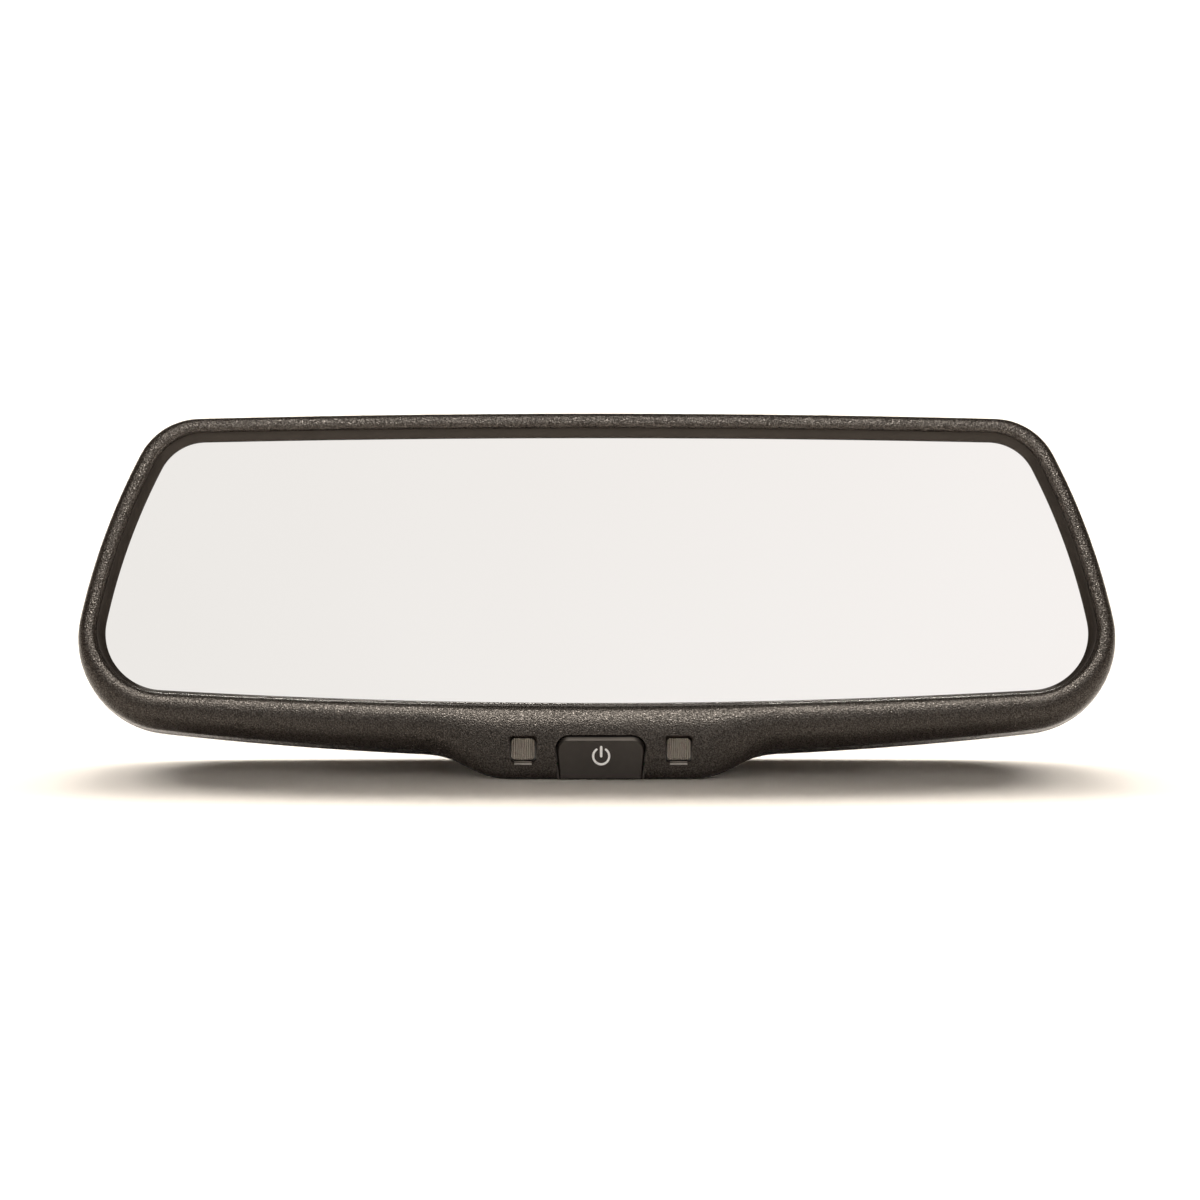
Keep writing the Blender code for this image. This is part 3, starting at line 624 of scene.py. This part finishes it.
def make_bezel():
    """Rows from the bezel's back, up its side, over the roll and the lip, and to its back again."""
    outer = with_chin(outline(OUTER, 0.0), CHIN_EDGE)
    rows = []
    for y, grow in ((BEZEL_DEPTH, -0.25), (BEZEL_DEPTH - 0.25, 0.0), (ROLL_DEPTH + 0.1, 0.0)):
        loop = with_chin(outline(OUTER, grow), under_chin(y) - grow)
        rows.append(at_depth(loop, y))
    for share in roll_shares():
        row = []
        for a, b in zip(lip_edge(), outer):
            point = a.lerp(b, share)
            chin = chin_share(b)
            low = 1.0 - sideness(a.y)
            y = roll_depth(share, low) * (1.0 - chin) + chin_depth(share) * chin
            row.append(Vector((point.x, y, point.y)))
        rows.append(row)
    grained = len(rows) - 1
    glass_pocket = outline(INNER, 2.6)
    for loop, y in ((lip_edge(-0.12), LIP_EDGE_Y + 0.35), (lip_edge(-0.30), LIP_EDGE_Y + 0.40),
                    (glass_edge(0.15), LIP_BACK_Y - 0.45), (glass_edge(0.0), LIP_BACK_Y - 0.25),
                    (glass_edge(0.0), LIP_BACK_Y), (glass_pocket, LIP_BACK_Y), (glass_pocket, BEZEL_DEPTH)):
        rows.append(at_depth(loop, y))
    kinds = [0 if k < grained else 1 for k in range(len(rows))]
    bezel = piece("bezel_shell", loft(rows, True, kinds), "grained lip", "head", HEAD,
                  ("bezel",))
    chin_pocket = block(CHIN_X - 25.5, CHIN_X + 25.5, 3.6, BEZEL_DEPTH + 1.0, 4.6, 18.0)
    cut(bezel, chin_pocket, finish="lip")
    cut(bezel, joined([button_slot(), window_hole(-1.0), window_hole(1.0)]), finish="lip")


def face_depth(z):
    """Depth of the chin's face at height z."""
    top = INNER.bottom_z - LIP_BOTTOM
    return chin_depth(min((top - z) / (top - CHIN_EDGE), CHIN_ROUND))


def button_outline(grow, bottom, top_grow=None):
    """The button's (x, z) outline, round at its top corners and a little narrower at the bottom."""
    high = BUTTON_TOP + (grow if top_grow is None else top_grow)
    half_low = BUTTON_HALF_BOTTOM + grow
    half_high = BUTTON_HALF_TOP + grow
    radius = BUTTON_CORNER + grow
    points = [Vector((half_low, bottom))]
    for k in range(17):
        angle = math.radians(90.0 * k / 16)
        x = half_high + radius * (math.cos(angle) - 1.0)
        points.append(Vector((x, high + radius * (math.sin(angle) - 1.0))))
    return points + [Vector((-p.x, p.y)) for p in reversed(points)]


def cap_depth(z):
    """Depth of the button's flat face, which carries on the chin's, at height z."""
    top = face_depth(BUTTON_TOP)
    low = face_depth(CAP_BOTTOM)
    return top + (low - top) * (BUTTON_TOP - z) / (BUTTON_TOP - CAP_BOTTOM)


def button_slot():
    """The slot, with its front edge softened."""
    rows = []
    for grow, into in ((1.3, -1.2), (0.28, 0.02), (0.23, 0.08), (0.22, 0.35)):
        loop = button_outline(grow, -1.5)
        rows.append([Vector((CHIN_X + p.x, cap_depth(max(p.y, CAP_BOTTOM)) + into, p.y)) for p in loop])
    rows.append([Vector((CHIN_X + p.x, 3.9, p.y)) for p in button_outline(0.22, -1.5)])
    return loft(rows)


def rounded_square(half_x, low, high, corner):
    """(x, z) points round a rectangle with rounded corners."""
    points = []
    corners = ((half_x, low, -90.0), (half_x, high, 0.0), (-half_x, high, 90.0), (-half_x, low, 180.0))
    for x, z, start in corners:
        centre = Vector((x - math.copysign(corner, x), z - corner if z == high else z + corner))
        for k in range(7):
            angle = math.radians(start + 15.0 * k)
            points.append(centre + Vector((math.cos(angle), math.sin(angle))) * corner)
    return points


def window_hole(side):
    """A sensor window's opening: its edges are softened, and its sill slopes to catch the light."""
    face = face_depth(WINDOW_Z)
    rows = []
    for right, left, low, high, y in ((4.3, -4.1, -5.6, 4.0, -1.6), (3.4, -3.3, -4.35, 2.95, 0.02),
                                      (3.3, -3.2, -4.15, 2.85, 0.2), (3.25, -3.15, -2.95, 2.8, 1.15),
                                      (3.25, -3.15, -2.85, 2.8, 3.9 - face)):
        loop = rounded_square((right - left) / 2.0, WINDOW_Z + low, WINDOW_Z + high, 0.9)
        centre = CHIN_X + side * WINDOW_X + (right + left) / 2.0
        rows.append([Vector((centre + p.x, face + y, p.y)) for p in loop])
    return loft(rows)


LENS_HALF = 3.0             # half the width of a window's lens
LENS_CORNER = 1.0
RIBS = 11
RIB_HEIGHT = 0.32
RIB_STEPS = 8               # faces across each rib


def window_lens():
    """A lens with fine upright ribs, its corners rounded by shortening the outermost ones."""
    front = face_depth(WINDOW_Z) + 0.4
    rows = []
    for k in range(RIBS * RIB_STEPS + 1):
        x = LENS_HALF * (2.0 * k / (RIBS * RIB_STEPS) - 1.0)
        over = max(abs(x) - (LENS_HALF - LENS_CORNER), 0.0)
        drop = LENS_CORNER - math.sqrt(max(LENS_CORNER ** 2 - over ** 2, 0.0))
        rib = RIB_HEIGHT * abs(math.sin(math.pi * k / RIB_STEPS))
        y = front - rib + 0.10 * (abs(x) / LENS_HALF) ** 6
        section = ((2.7 - drop, y + 0.2), (2.5 - drop, y), (-2.5 + drop, y), (-2.7 + drop, y + 0.2),
                   (-2.7 + drop, 3.95), (2.7 - drop, 3.95))
        rows.append([Vector((x, depth, WINDOW_Z + z)) for z, depth in section])
    return loft(rows)


def window_sill():
    """The lens's foot, a slanted ledge that catches the light under the ribs."""
    face = face_depth(WINDOW_Z)
    section = ((-4.0, face + 0.55), (-3.1, face + 0.95), (-3.1, face + 1.6), (-4.0, face + 1.6))
    return loft([[Vector((x, y, WINDOW_Z + z)) for z, y in section] for x in (-2.2, 2.2)])


def make_windows():
    """Both windows: a ribbed lens, its sill, and the flange that holds it behind the bezel."""
    for name, node, side in (("left_window_lens", "left_sensor_window", -1.0),
                             ("right_window_lens", "right_sensor_window", 1.0)):
        flange = block(-4.3, 4.3, 3.9, 4.8, WINDOW_Z - 2.9, WINDOW_Z + 4.3, 0.2)
        shape = joined([window_lens(), window_sill(), flange])
        shape.transform(Matrix.Translation((CHIN_X + side * WINDOW_X, 0.0, 0.0)))
        piece(name, shape, "lens", "head", HEAD, (node,), 20.0)


# ---- Power button and its symbol --------------------------------------------
CAP_BOTTOM = 0.95
# Lines round the cap: how far each is inside its sides, below its top, and behind its face
CAP_LINES = ((0.62, 1.27, 0.0), (0.52, 1.14, 0.0), (0.44, 1.04, 0.05), (0.26, 0.50, 0.28), (0.10, 0.12, 0.5),
             (0.0, 0.0, 0.7))


def make_button():
    """The cap with its rounded edge, and the neck and flange that hold it behind the bezel."""
    rows = []
    for side, top, behind in CAP_LINES:
        loop = button_outline(-side, CAP_BOTTOM, -top)
        rows.append([Vector((CHIN_X + p.x, cap_depth(p.y) + behind, p.y)) for p in loop])
    rows.append([Vector((CHIN_X + p.x, 2.9, max(p.y, 1.6))) for p in button_outline(0.0, CAP_BOTTOM)])
    neck = block(CHIN_X - 9.0, CHIN_X + 9.0, 2.8, 3.95, 5.2, 9.6)
    flange = block(CHIN_X - 13.2, CHIN_X + 13.2, 3.9, 4.8, 5.2, 12.4, 0.2)
    piece("button_cap", joined([loft(rows), neck, flange]), "button", "button", HEAD,
          ("power_button",), 20.0)


def stroke(path, width, thick=0.04):
    """A flat painted line with round ends along (x, z) points, standing thick proud of the face."""
    left = []
    right = []
    for k, point in enumerate(path):
        before = path[max(k - 1, 0)]
        after = path[min(k + 1, len(path) - 1)]
        along = (after - before).normalized()
        side = Vector((-along.y, along.x)) * width / 2.0
        left.append(point + side)
        right.append(point - side)
    ends = []
    for centre, toward in ((path[-1], path[-2]), (path[0], path[1])):
        along = (centre - toward).normalized()
        side = Vector((-along.y, along.x))
        turn = [math.radians(20.0 * k) for k in range(1, 9)]
        ends.append([centre + (side * math.cos(a) + along * math.sin(a)) * width / 2.0 for a in turn])
    loop = left + ends[0] + right[::-1] + ends[1]
    rows = [[Vector((p.x, cap_depth(p.y) - lift, p.y)) for p in loop] for lift in (thick, -0.1)]
    return loft(rows)


SYMBOL_AT = Vector((CHIN_X + 0.1, 6.5))
SYMBOL_RADIUS = 2.03
SYMBOL_OPENING = 36.0       # degrees from the top to each end of the ring


def make_symbol():
    """The generic power symbol: an open ring and an upright bar."""
    ring = []
    for k in range(41):
        angle = math.radians(90.0 + SYMBOL_OPENING + (360.0 - 2.0 * SYMBOL_OPENING) * k / 40)
        ring.append(SYMBOL_AT + Vector((math.cos(angle), math.sin(angle))) * SYMBOL_RADIUS)
    bar = [SYMBOL_AT + Vector((0.0, z)) for z in (0.0, 1.0, 2.25)]
    shape = joined([stroke(ring, 0.56), stroke(bar, 0.62)])
    piece("power_symbol", shape, "symbol", "button")


# ---- Rear housing -----------------------------------------------------------
HOUSING_HOLES = [(x, z) for x in (-72.0, 72.0) for z in (35.0, 66.0)]
PLATE_HOLES = [(x, z) for x in (-17.0, 17.0) for z in (50.0, 73.0)]
HOLE_START = 28.0           # depths between which the holes in the housing's back are cut
HOLE_END = 40.0


def housing_rows(grow, back_grow, depth, chin_lift, steps=30):
    rows = []
    rim = BEZEL_DEPTH + GAP
    for k in range(steps + 1):
        angle = math.radians(90.0 * k / steps)
        y = rim + (depth - rim) * math.sin(angle)
        loop = mixed(outline(OUTER, grow), outline(BACK, back_grow), 1.0 - math.cos(angle))
        amount = max(0.0, 1.0 - (y - rim) / (HOUSING_DEPTH - rim) * 1.2)
        rows.append(at_depth(with_chin(loop, under_chin(y) + chin_lift, amount), y))
    return rows


def ring_cutter(radius, chamfer, x, z):
    """A round hole whose edge is chamfered where it meets the housing's back."""
    outer = radius + chamfer + 0.5
    profile = [(0.0, HOLE_START), (radius, HOLE_START), (radius, HOUSING_DEPTH - chamfer),
               (outer, HOUSING_DEPTH + 0.5), (outer, HOLE_END), (0.0, HOLE_END)]
    return turned(profile, 48, "Y", (x, 0.0, z))


def make_housing():
    outside = housing_rows(0.0, 0.0, HOUSING_DEPTH, 0.0)
    rim = [Vector((p.x * 0.9985, p.y, p.z + (0.2 if p.z < 40.0 else -0.2))) for p in outside[0]]
    outside[0] = [Vector((p.x, p.y + 0.3, p.z + under_chin(0.3))) for p in outside[0]]
    inside = housing_rows(-HOUSING_WALL, -1.5, HOUSING_DEPTH - HOUSING_WALL, 2.0, 12)
    shell = loft(inside[::-1] + [rim] + outside)
    housing = piece("housing_shell", shell, "grained", "head", HEAD, ("rear_housing",))
    holes = [ring_cutter(12.5, 0.9, HEAD_BALL.x, HEAD_BALL.z), ring_cutter(3.0, 0.0, PIPE_X, PORT_Z)]
    seat = HOUSING_DEPTH - 1.2
    for x, z in HOUSING_HOLES:
        profile = [(0.0, HOLE_START), (1.8, HOLE_START), (1.8, seat), (3.6, seat)]
        profile += [(3.6, HOUSING_DEPTH - 0.3), (4.4, HOUSING_DEPTH + 0.5), (4.4, HOLE_END), (0.0, HOLE_END)]
        holes.append(turned(profile, 40, "Y", (x, 0.0, z)))
    rows = []
    for grow, y in ((0.0, HOLE_START), (0.0, HOUSING_DEPTH - 0.4),
                    (0.9, HOUSING_DEPTH + 0.5), (0.9, HOLE_END)):
        loop = rounded_square(7.6 + grow, PORT_Z - 4.6 - grow, PORT_Z + 4.6 + grow, 1.0 + grow)
        rows.append([Vector((SOCKET_X + p.x, y, p.y)) for p in loop])
    holes.append(loft(rows))
    cut(housing, joined(holes))


# ---- Mirror element ---------------------------------------------------------
def pane(name, node, y, finish, thick=1.6, grow=2.1, edge=0.3):
    """A flat pane with ground edges. Where two finishes are named, the second is that of its large faces."""
    rows = []
    for inset, depth in ((edge, 0.0), (0.0, edge), (0.0, thick - edge), (edge, thick)):
        rows.append(at_depth(outline(INNER, grow - inset), y + depth))
    shape = loft(rows)
    for face in shape.faces:
        face.material_index = 1 if len(face.verts) > 4 and " " in finish else 0
    piece(name, shape, finish, "head", HEAD, (node,), 20.0)


def make_element():
    pane("front_pane", "front_glass", 3.7, "glass mirror")
    pane("mirror_pane", "rear_mirror_glass", 6.2, "mirror")
    pane("adhesive_foam", "foam_pad", 8.1, "foam", 0.8, -3.0, 0.15)
    rows = []
    for k in range(16):
        angle = 2.0 * math.pi * k / 16
        rows.append(at_depth(outline(INNER, -0.1 + 1.2 * math.cos(angle)), 5.75 + 0.15 * math.sin(angle)))
    piece("seal_bead", loft(rows, True), "seal", "head", HEAD, ("cell_seal",))


# ---- Screws, studs and the arm ----------------------------------------------
PITCH = 0.7


def screw_profile(head_y, radius, thick, shank, tip_y):
    """A threaded shank and a domed pan head, as (radius, y) points."""
    root = shank * 0.8
    profile = [(0.0, tip_y), (shank * 0.35, tip_y + 0.1), (root, tip_y + 1.2)]
    y = tip_y + 1.5
    while y < head_y - 0.8:
        profile += [(root, y), (shank, y + PITCH * 0.4), (root, y + PITCH * 0.8)]
        y += PITCH
    profile += [(shank, head_y), (radius * 0.94, head_y), (radius, head_y + 0.12)]
    profile.append((radius, head_y + thick * 0.35))
    for k in range(1, 7):
        angle = math.radians(15.0 * k)
        across = radius * (0.55 + 0.45 * math.cos(angle))
        profile.append((across, head_y + thick * (0.35 + 0.65 * math.sin(angle))))
    return profile + [(0.0, head_y + thick)]


def recess_arm(x, z, radius, low, high, along_x):
    """One arm of a cross recess, which gets shorter towards its floor."""
    rows = []
    for share, y in ((0.35, low), (1.0, high)):
        length = 0.55 * radius * share
        width = 0.14 * radius
        wide, tall = (length, width) if along_x else (width, length)
        corners = ((-wide, -tall), (wide, -tall), (wide, tall), (-wide, tall))
        rows.append([Vector((x + a, y, z + b)) for a, b in corners])
    return loft(rows)


def cross_screw(name, node, x, z, head_y, radius, thick, shank, tip_y):
    """A pan-head screw with a cross recess and a thread."""
    shape = turned(screw_profile(head_y, radius, thick, shank, tip_y), 32, "Y", (x, 0.0, z))
    item = piece(name, shape, "black_steel", "head", HEAD, (node,))
    for along_x in (True, False):
        cut(item, recess_arm(x, z, radius, head_y + thick * 0.25, head_y + thick + 0.2, along_x))


def make_screws():
    for k, (x, z) in enumerate(HOUSING_HOLES, 1):
        name = f"housing_screw_detail_{k}"
        cross_screw(name, f"housing_screw_{k}", x, z, HOUSING_DEPTH - 0.9, 3.2, 1.6, 1.4, 22.6)
    for k, (x, z) in enumerate(PLATE_HOLES, 1):
        cross_screw(f"plate_screw_detail_{k}", f"plate_screw_{k}", x, z, 29.7, 2.8, 1.5, 1.4, 19.6)


def make_studs():
    neck = math.degrees(math.asin(NECK_RADIUS / BALL_RADIUS))
    near = 26.9
    far = 29.7
    stud = [(0.0, near - 1.8), (5.2, near - 1.8), (6.0, near - 1.5), (6.4, near - 0.9), (6.4, near),
            (4.0, near), (4.0, far), (9.7, far), (10.0, far + 0.3), (10.0, far + 0.9), (9.7, far + 1.2)]
    for k in range(13):
        share = k / 12
        radius = NECK_RADIUS + (7.4 - NECK_RADIUS) * (1.0 - math.sin(math.radians(90.0 * share)))
        stud.append((radius, far + 1.5 + 6.5 * share))
    stud += sphere_points(BALL_RADIUS, 180.0 - neck, 0.0, 32, HEAD_BALL.y)
    piece("head_stud", turned(stud, 64, "Y", (HEAD_BALL.x, 0.0, HEAD_BALL.z)), "zinc", "head", HEAD,
          ("head_ball_stud",))
    foot = sphere_points(BALL_RADIUS, 0.0, 180.0 - neck, 32)
    for k in range(13):
        share = k / 12
        radius = NECK_RADIUS + (5.6 - NECK_RADIUS) * (1.0 - math.cos(math.radians(90.0 * share)))
        foot.append((radius, -8.6 - 8.0 * share))
    foot += [(5.6, -24.5), (0.0, -24.5)]
    item = piece("foot_stud", turned(foot, 64), "zinc", "mount", STEM, ("foot_ball_stud",))
    cut(item, block(-20.0, 20.0, -10.0, 100.0, -30.0, 4.9), WORLD)


def make_arm():
    mouth = math.degrees(math.asin(MOUTH_RADIUS / SOCKET_RADIUS))
    bore = math.degrees(math.asin(TUBE_BORE / SOCKET_RADIUS))
    end = ARM_LENGTH
    inner = sphere_points(SOCKET_RADIUS, 180.0 - mouth, bore, 24)
    inner += sphere_points(SOCKET_RADIUS, 180.0 - bore, mouth, 24, end)

    def outer_half(sign, centre):
        """The outside of one end, from its mouth to the waist, with a rolled lip and one groove."""
        roll = 1.6
        groove = TUBE_RADIUS - 0.25
        points = [(MOUTH_RADIUS + 0.5, -MOUTH_REACH + 0.3), (MOUTH_RADIUS + 0.9, -MOUTH_REACH),
                  (TUBE_RADIUS - roll, -MOUTH_REACH)]
        for k in range(1, 7):
            angle = math.radians(15.0 * k)
            radius = TUBE_RADIUS - roll + roll * math.sin(angle)
            points.append((radius, -MOUTH_REACH + roll * (1.0 - math.cos(angle))))
        points += [(TUBE_RADIUS, -2.2), (groove, -2.0), (groove, -1.4)]
        points += [(TUBE_RADIUS, -1.2), (TUBE_RADIUS, 6.0)]
        for k in range(1, 13):
            share = k / 12
            radius = TUBE_RADIUS - (TUBE_RADIUS - TUBE_WAIST) * smooth_step(share)
            points.append((radius, 6.0 + 7.0 * share))
        return [(radius, centre + sign * height) for radius, height in points]

    profile = inner + outer_half(-1.0, end) + outer_half(1.0, 0.0)[::-1]
    piece("arm_shell", turned(profile, 72, ring=True), "button", "arm", ARM, ("arm_tube",))


# ---- Windscreen mount -------------------------------------------------------
SHOE_FRONT = 106.0 - FRAME_Y
SHOE_BACK = 130.0 - FRAME_Y


def dovetail(grow, low):
    slope = 1.4 / 4.0
    edge = 8.6 + grow
    top = 4.0 + grow
    low_edge = edge + slope * low
    top_edge = edge + slope * top
    return ((-low_edge, low), (low_edge, low), (top_edge, top), (-top_edge, top))


def make_shoe():
    corners = ((SHOE_FRONT, 0.6), (SHOE_BACK, 0.6), (SHOE_BACK, 5.0), (SHOE_BACK - 4.0, 8.0),
               (SHOE_FRONT + 4.0, 8.0), (SHOE_FRONT, 4.4))
    shape = loft([[Vector((x, y, z)) for y, z in corners] for x in (-13.0, 13.0)])
    bmesh.ops.recalc_face_normals(shape, faces=shape.faces)
    bmesh.ops.bevel(shape, geom=list(shape.edges), offset=0.8, segments=4, profile=0.5, affect="EDGES")
    shoe = piece("shoe_casting", shape, "zinc", "mount", WORLD, ("mount_shoe",))
    channel_ends = (SHOE_FRONT - 5.0, 121.6 - FRAME_Y)
    channel = [[Vector((x, y, z)) for x, z in dovetail(0.35, -2.0)] for y in channel_ends]
    cut(shoe, loft(channel), WORLD)
    cut(shoe, turned([(0.0, -30.0), (5.95, -30.0), (5.95, -10.0), (0.0, -10.0)], 48), STEM)
    bore = [(0.0, 120.0 - FRAME_Y), (1.9, 120.0 - FRAME_Y), (1.9, SHOE_BACK - 0.4), (2.9, SHOE_BACK + 0.6),
            (0.0, SHOE_BACK + 0.6)]
    cut(shoe, turned(bore, 32, "Y", (0.0, 0.0, 3.0)), WORLD)


def make_pad():
    rows = []
    for inset, y in ((0.3, 107.5), (0.0, 107.8), (0.0, 120.9), (0.3, 121.2)):
        rows.append([Vector((x * (1.0 - inset / 10.0), y - FRAME_Y, z)) for x, z in dovetail(0.0, 0.0)])
    piece("windscreen_pad", loft(rows), "steel", "mount", WORLD, ("windscreen_button",))


def make_set_screw():
    low = 122.2 - FRAME_Y
    profile = [(0.0, low), (0.7, low), (1.2, low + 0.7)]
    y = low + 0.9
    while y < SHOE_BACK - 0.9:
        profile += [(1.35, y), (1.6, y + 0.25), (1.35, y + 0.5)]
        y += 0.5
    profile += [(1.6, SHOE_BACK - 0.3), (1.4, SHOE_BACK), (0.0, SHOE_BACK)]
    shape = turned(profile, 32, "Y", (0.0, 0.0, 3.0))
    screw = piece("set_screw_detail", shape, "black_steel", "mount", WORLD, ("set_screw",))
    socket = [(0.0, SHOE_BACK - 2.0), (0.9, SHOE_BACK - 2.0), (0.9, SHOE_BACK + 1.0), (0.0, SHOE_BACK + 1.0)]
    cut(screw, turned(socket, 6, "Y", (0.0, 0.0, 3.0)), WORLD)


# ---- Materials of the CAD nodes that stay -----------------------------------
DRESSED = {
    "inner": ("carrier_plate", "tact_switch", "glare_sensor", "board_header", "connector_socket"),
    "clear": ("status_led", "ambient_sensor", "ambient_light_pipe"),
    "board": ("button_board", "main_board"),
    "steel": ("mount_plate", "arm_spring"),
    "liner": ("foot_seat_cup", "foot_seat_ring", "head_seat_cup", "head_seat_ring"),
    "black_steel": ("carrier_screw_1", "carrier_screw_2", "board_screw_1", "board_screw_2"),
}


def dress_nodes():
    for finish, names in DRESSED.items():
        for name in names:
            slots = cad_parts[name].data.materials
            slots.clear()
            slots.append(FINISHES[finish])


# ---- Stage, light and camera ------------------------------------------------
VIEW_RISE = 9.0
PIXEL_MM = 1.0 / 3.958
LENS = 200.0
SENSOR = 36.0
CENTRE_X = 0.8
CENTRE_UP = 45.75

CARD_RISE = 27.0            # the card the mirror reflects: its height and half its width in degrees
CARD_EDGE = 16.0
CARD_LEFT = (0.901, 0.881, 0.856)
CARD_RIGHT = (0.983, 0.951, 0.934)
ROOM = (0.085, 0.066, 0.050)
FILL = (0.036, 0.030, 0.025)        # the room as dull surfaces see it
# Lamps round the mirror: degrees to either side of straight behind, height, and light on the floor. Those
# behind are each low enough for the shadow to end on one line in front; the last two reach under its ends.
SUNS = ((0.0, 55.5, 0.30), (-20.0, 54.0, 0.22), (20.0, 54.0, 0.22), (-42.0, 47.3, 0.28), (42.0, 47.3, 0.28),
        (-57.0, 38.5, 0.25), (57.0, 38.5, 0.25), (-98.0, 9.0, 0.07), (98.0, 9.0, 0.07))
SUN_SIZE = 15.0
# Lamps that only make highlights: name, place and depth in metres, and watts
SOFT_LAMPS = (("key", (0.0, -1.26, 1.21), 0.2, 22.0), ("overhead", (0.0, -0.40, 1.70), 0.3, 2.0))
SOFT_WIDTH = 0.5


def make_stage():
    shape = bmesh.new()
    bmesh.ops.create_grid(shape, x_segments=1, y_segments=1, size=40.0)
    mesh = bpy.data.meshes.new("floor")
    shape.to_mesh(mesh)
    shape.free()
    floor = bpy.data.objects.new("floor", mesh)
    floor.location.z = -0.0002
    bpy.context.scene.collection.objects.link(floor)
    s = Surface("floor_paper", (0.90, 0.83, 0.75), 0.9)
    s.tint(s.noise(6.0, 2.0), (0.895, 0.825, 0.745), (0.905, 0.835, 0.755))
    mesh.materials.append(s.material)


def make_world():
    """A dim warm room with a white card in front, which the mirror reflects, and white behind it all."""
    world = bpy.data.worlds.new("studio")
    bpy.context.scene.world = world
    world.use_nodes = True
    nodes = world.node_tree.nodes
    links = world.node_tree.links
    direction = nodes.new("ShaderNodeTexCoord").outputs["Generated"]

    toward = nodes.new("ShaderNodeVectorMath")
    toward.operation = "DOT_PRODUCT"
    rise = math.radians(CARD_RISE)
    toward.inputs[1].default_value = (0.0, -math.cos(rise), math.sin(rise))
    links.new(direction, toward.inputs[0])
    card = nodes.new("ShaderNodeMapRange")
    card.interpolation_type = "SMOOTHSTEP"
    card.inputs["From Min"].default_value = math.cos(math.radians(CARD_EDGE + 6.0))
    card.inputs["From Max"].default_value = math.cos(math.radians(CARD_EDGE))
    links.new(toward.outputs["Value"], card.inputs["Value"])

    across = nodes.new("ShaderNodeSeparateXYZ")
    links.new(direction, across.inputs["Vector"])
    sweep = nodes.new("ShaderNodeMapRange")
    sweep.inputs["From Min"].default_value = -0.08
    sweep.inputs["From Max"].default_value = 0.08
    links.new(across.outputs["X"], sweep.inputs["Value"])

    def mix(factor, first, second):
        node = nodes.new("ShaderNodeMix")
        node.data_type = "RGBA"
        links.new(factor, node.inputs["Factor"])
        for socket, value in ((node.inputs[6], first), (node.inputs[7], second)):
            if isinstance(value, tuple):
                socket.default_value = (*value, 1.0)
            else:
                links.new(value, socket)
        return node.outputs[2]

    card_colour = mix(sweep.outputs["Result"], CARD_LEFT, CARD_RIGHT)
    room = mix(card.outputs["Result"], ROOM, card_colour)
    rays = nodes.new("ShaderNodeLightPath")
    lit = mix(rays.outputs["Is Diffuse Ray"], room, FILL)
    seen = mix(rays.outputs["Is Camera Ray"], lit, (1.0, 1.0, 1.0))
    links.new(seen, nodes["Background"].inputs["Color"])


def lamp(name, kind, place, energy, colour):
    data = bpy.data.lights.new(name, kind)
    data.energy = energy
    data.color = colour
    item = bpy.data.objects.new(name, data)
    item.location = place
    item.rotation_euler = (-Vector(place)).to_track_quat("-Z", "Y").to_euler()
    bpy.context.scene.collection.objects.link(item)
    return item


def make_light():
    """Soft lamps behind and beside the mirror, and two above it that only make highlights."""
    for count, (turn, rise, light) in enumerate(SUNS):
        up = math.radians(rise)
        aside = math.radians(turn)
        place = (math.sin(aside) * math.cos(up), math.cos(aside) * math.cos(up), math.sin(up))
        sun = lamp(f"back_{count}", "SUN", place, light * math.pi / math.sin(up), (1.0, 0.99, 0.97))
        sun.data.angle = math.radians(SUN_SIZE)
        sun.visible_glossy = False
    for name, place, deep, energy in SOFT_LAMPS:
        soft = lamp(name, "AREA", place, energy, (1.0, 0.95, 0.88))
        soft.data.shape = "RECTANGLE"
        soft.data.size = SOFT_WIDTH
        soft.data.size_y = deep
        soft.visible_diffuse = False


def make_camera():
    rise = math.radians(VIEW_RISE)
    forward = Vector((0.0, math.cos(rise), -math.sin(rise)))
    up = Vector((0.0, math.sin(rise), math.cos(rise)))
    target = (Vector((CENTRE_X, -FRAME_Y, 0.0)) + up * CENTRE_UP) * MM
    distance = 1200.0 * PIXEL_MM * MM / SENSOR * LENS
    data = bpy.data.cameras.new("camera")
    data.lens = LENS
    data.sensor_width = SENSOR
    data.clip_end = 50.0
    camera = bpy.data.objects.new("camera", data)
    camera.location = target - forward * distance
    camera.rotation_euler = forward.to_track_quat("-Z", "Y").to_euler()
    bpy.context.scene.collection.objects.link(camera)
    bpy.context.scene.camera = camera


make_camera()
make_stage()
make_world()
make_light()
make_bezel()
make_windows()
make_button()
make_symbol()
make_housing()
make_element()
make_screws()
make_studs()
make_arm()
make_shoe()
make_pad()
make_set_screw()
dress_nodes()

bpy.context.scene.view_settings.view_transform = "Standard"
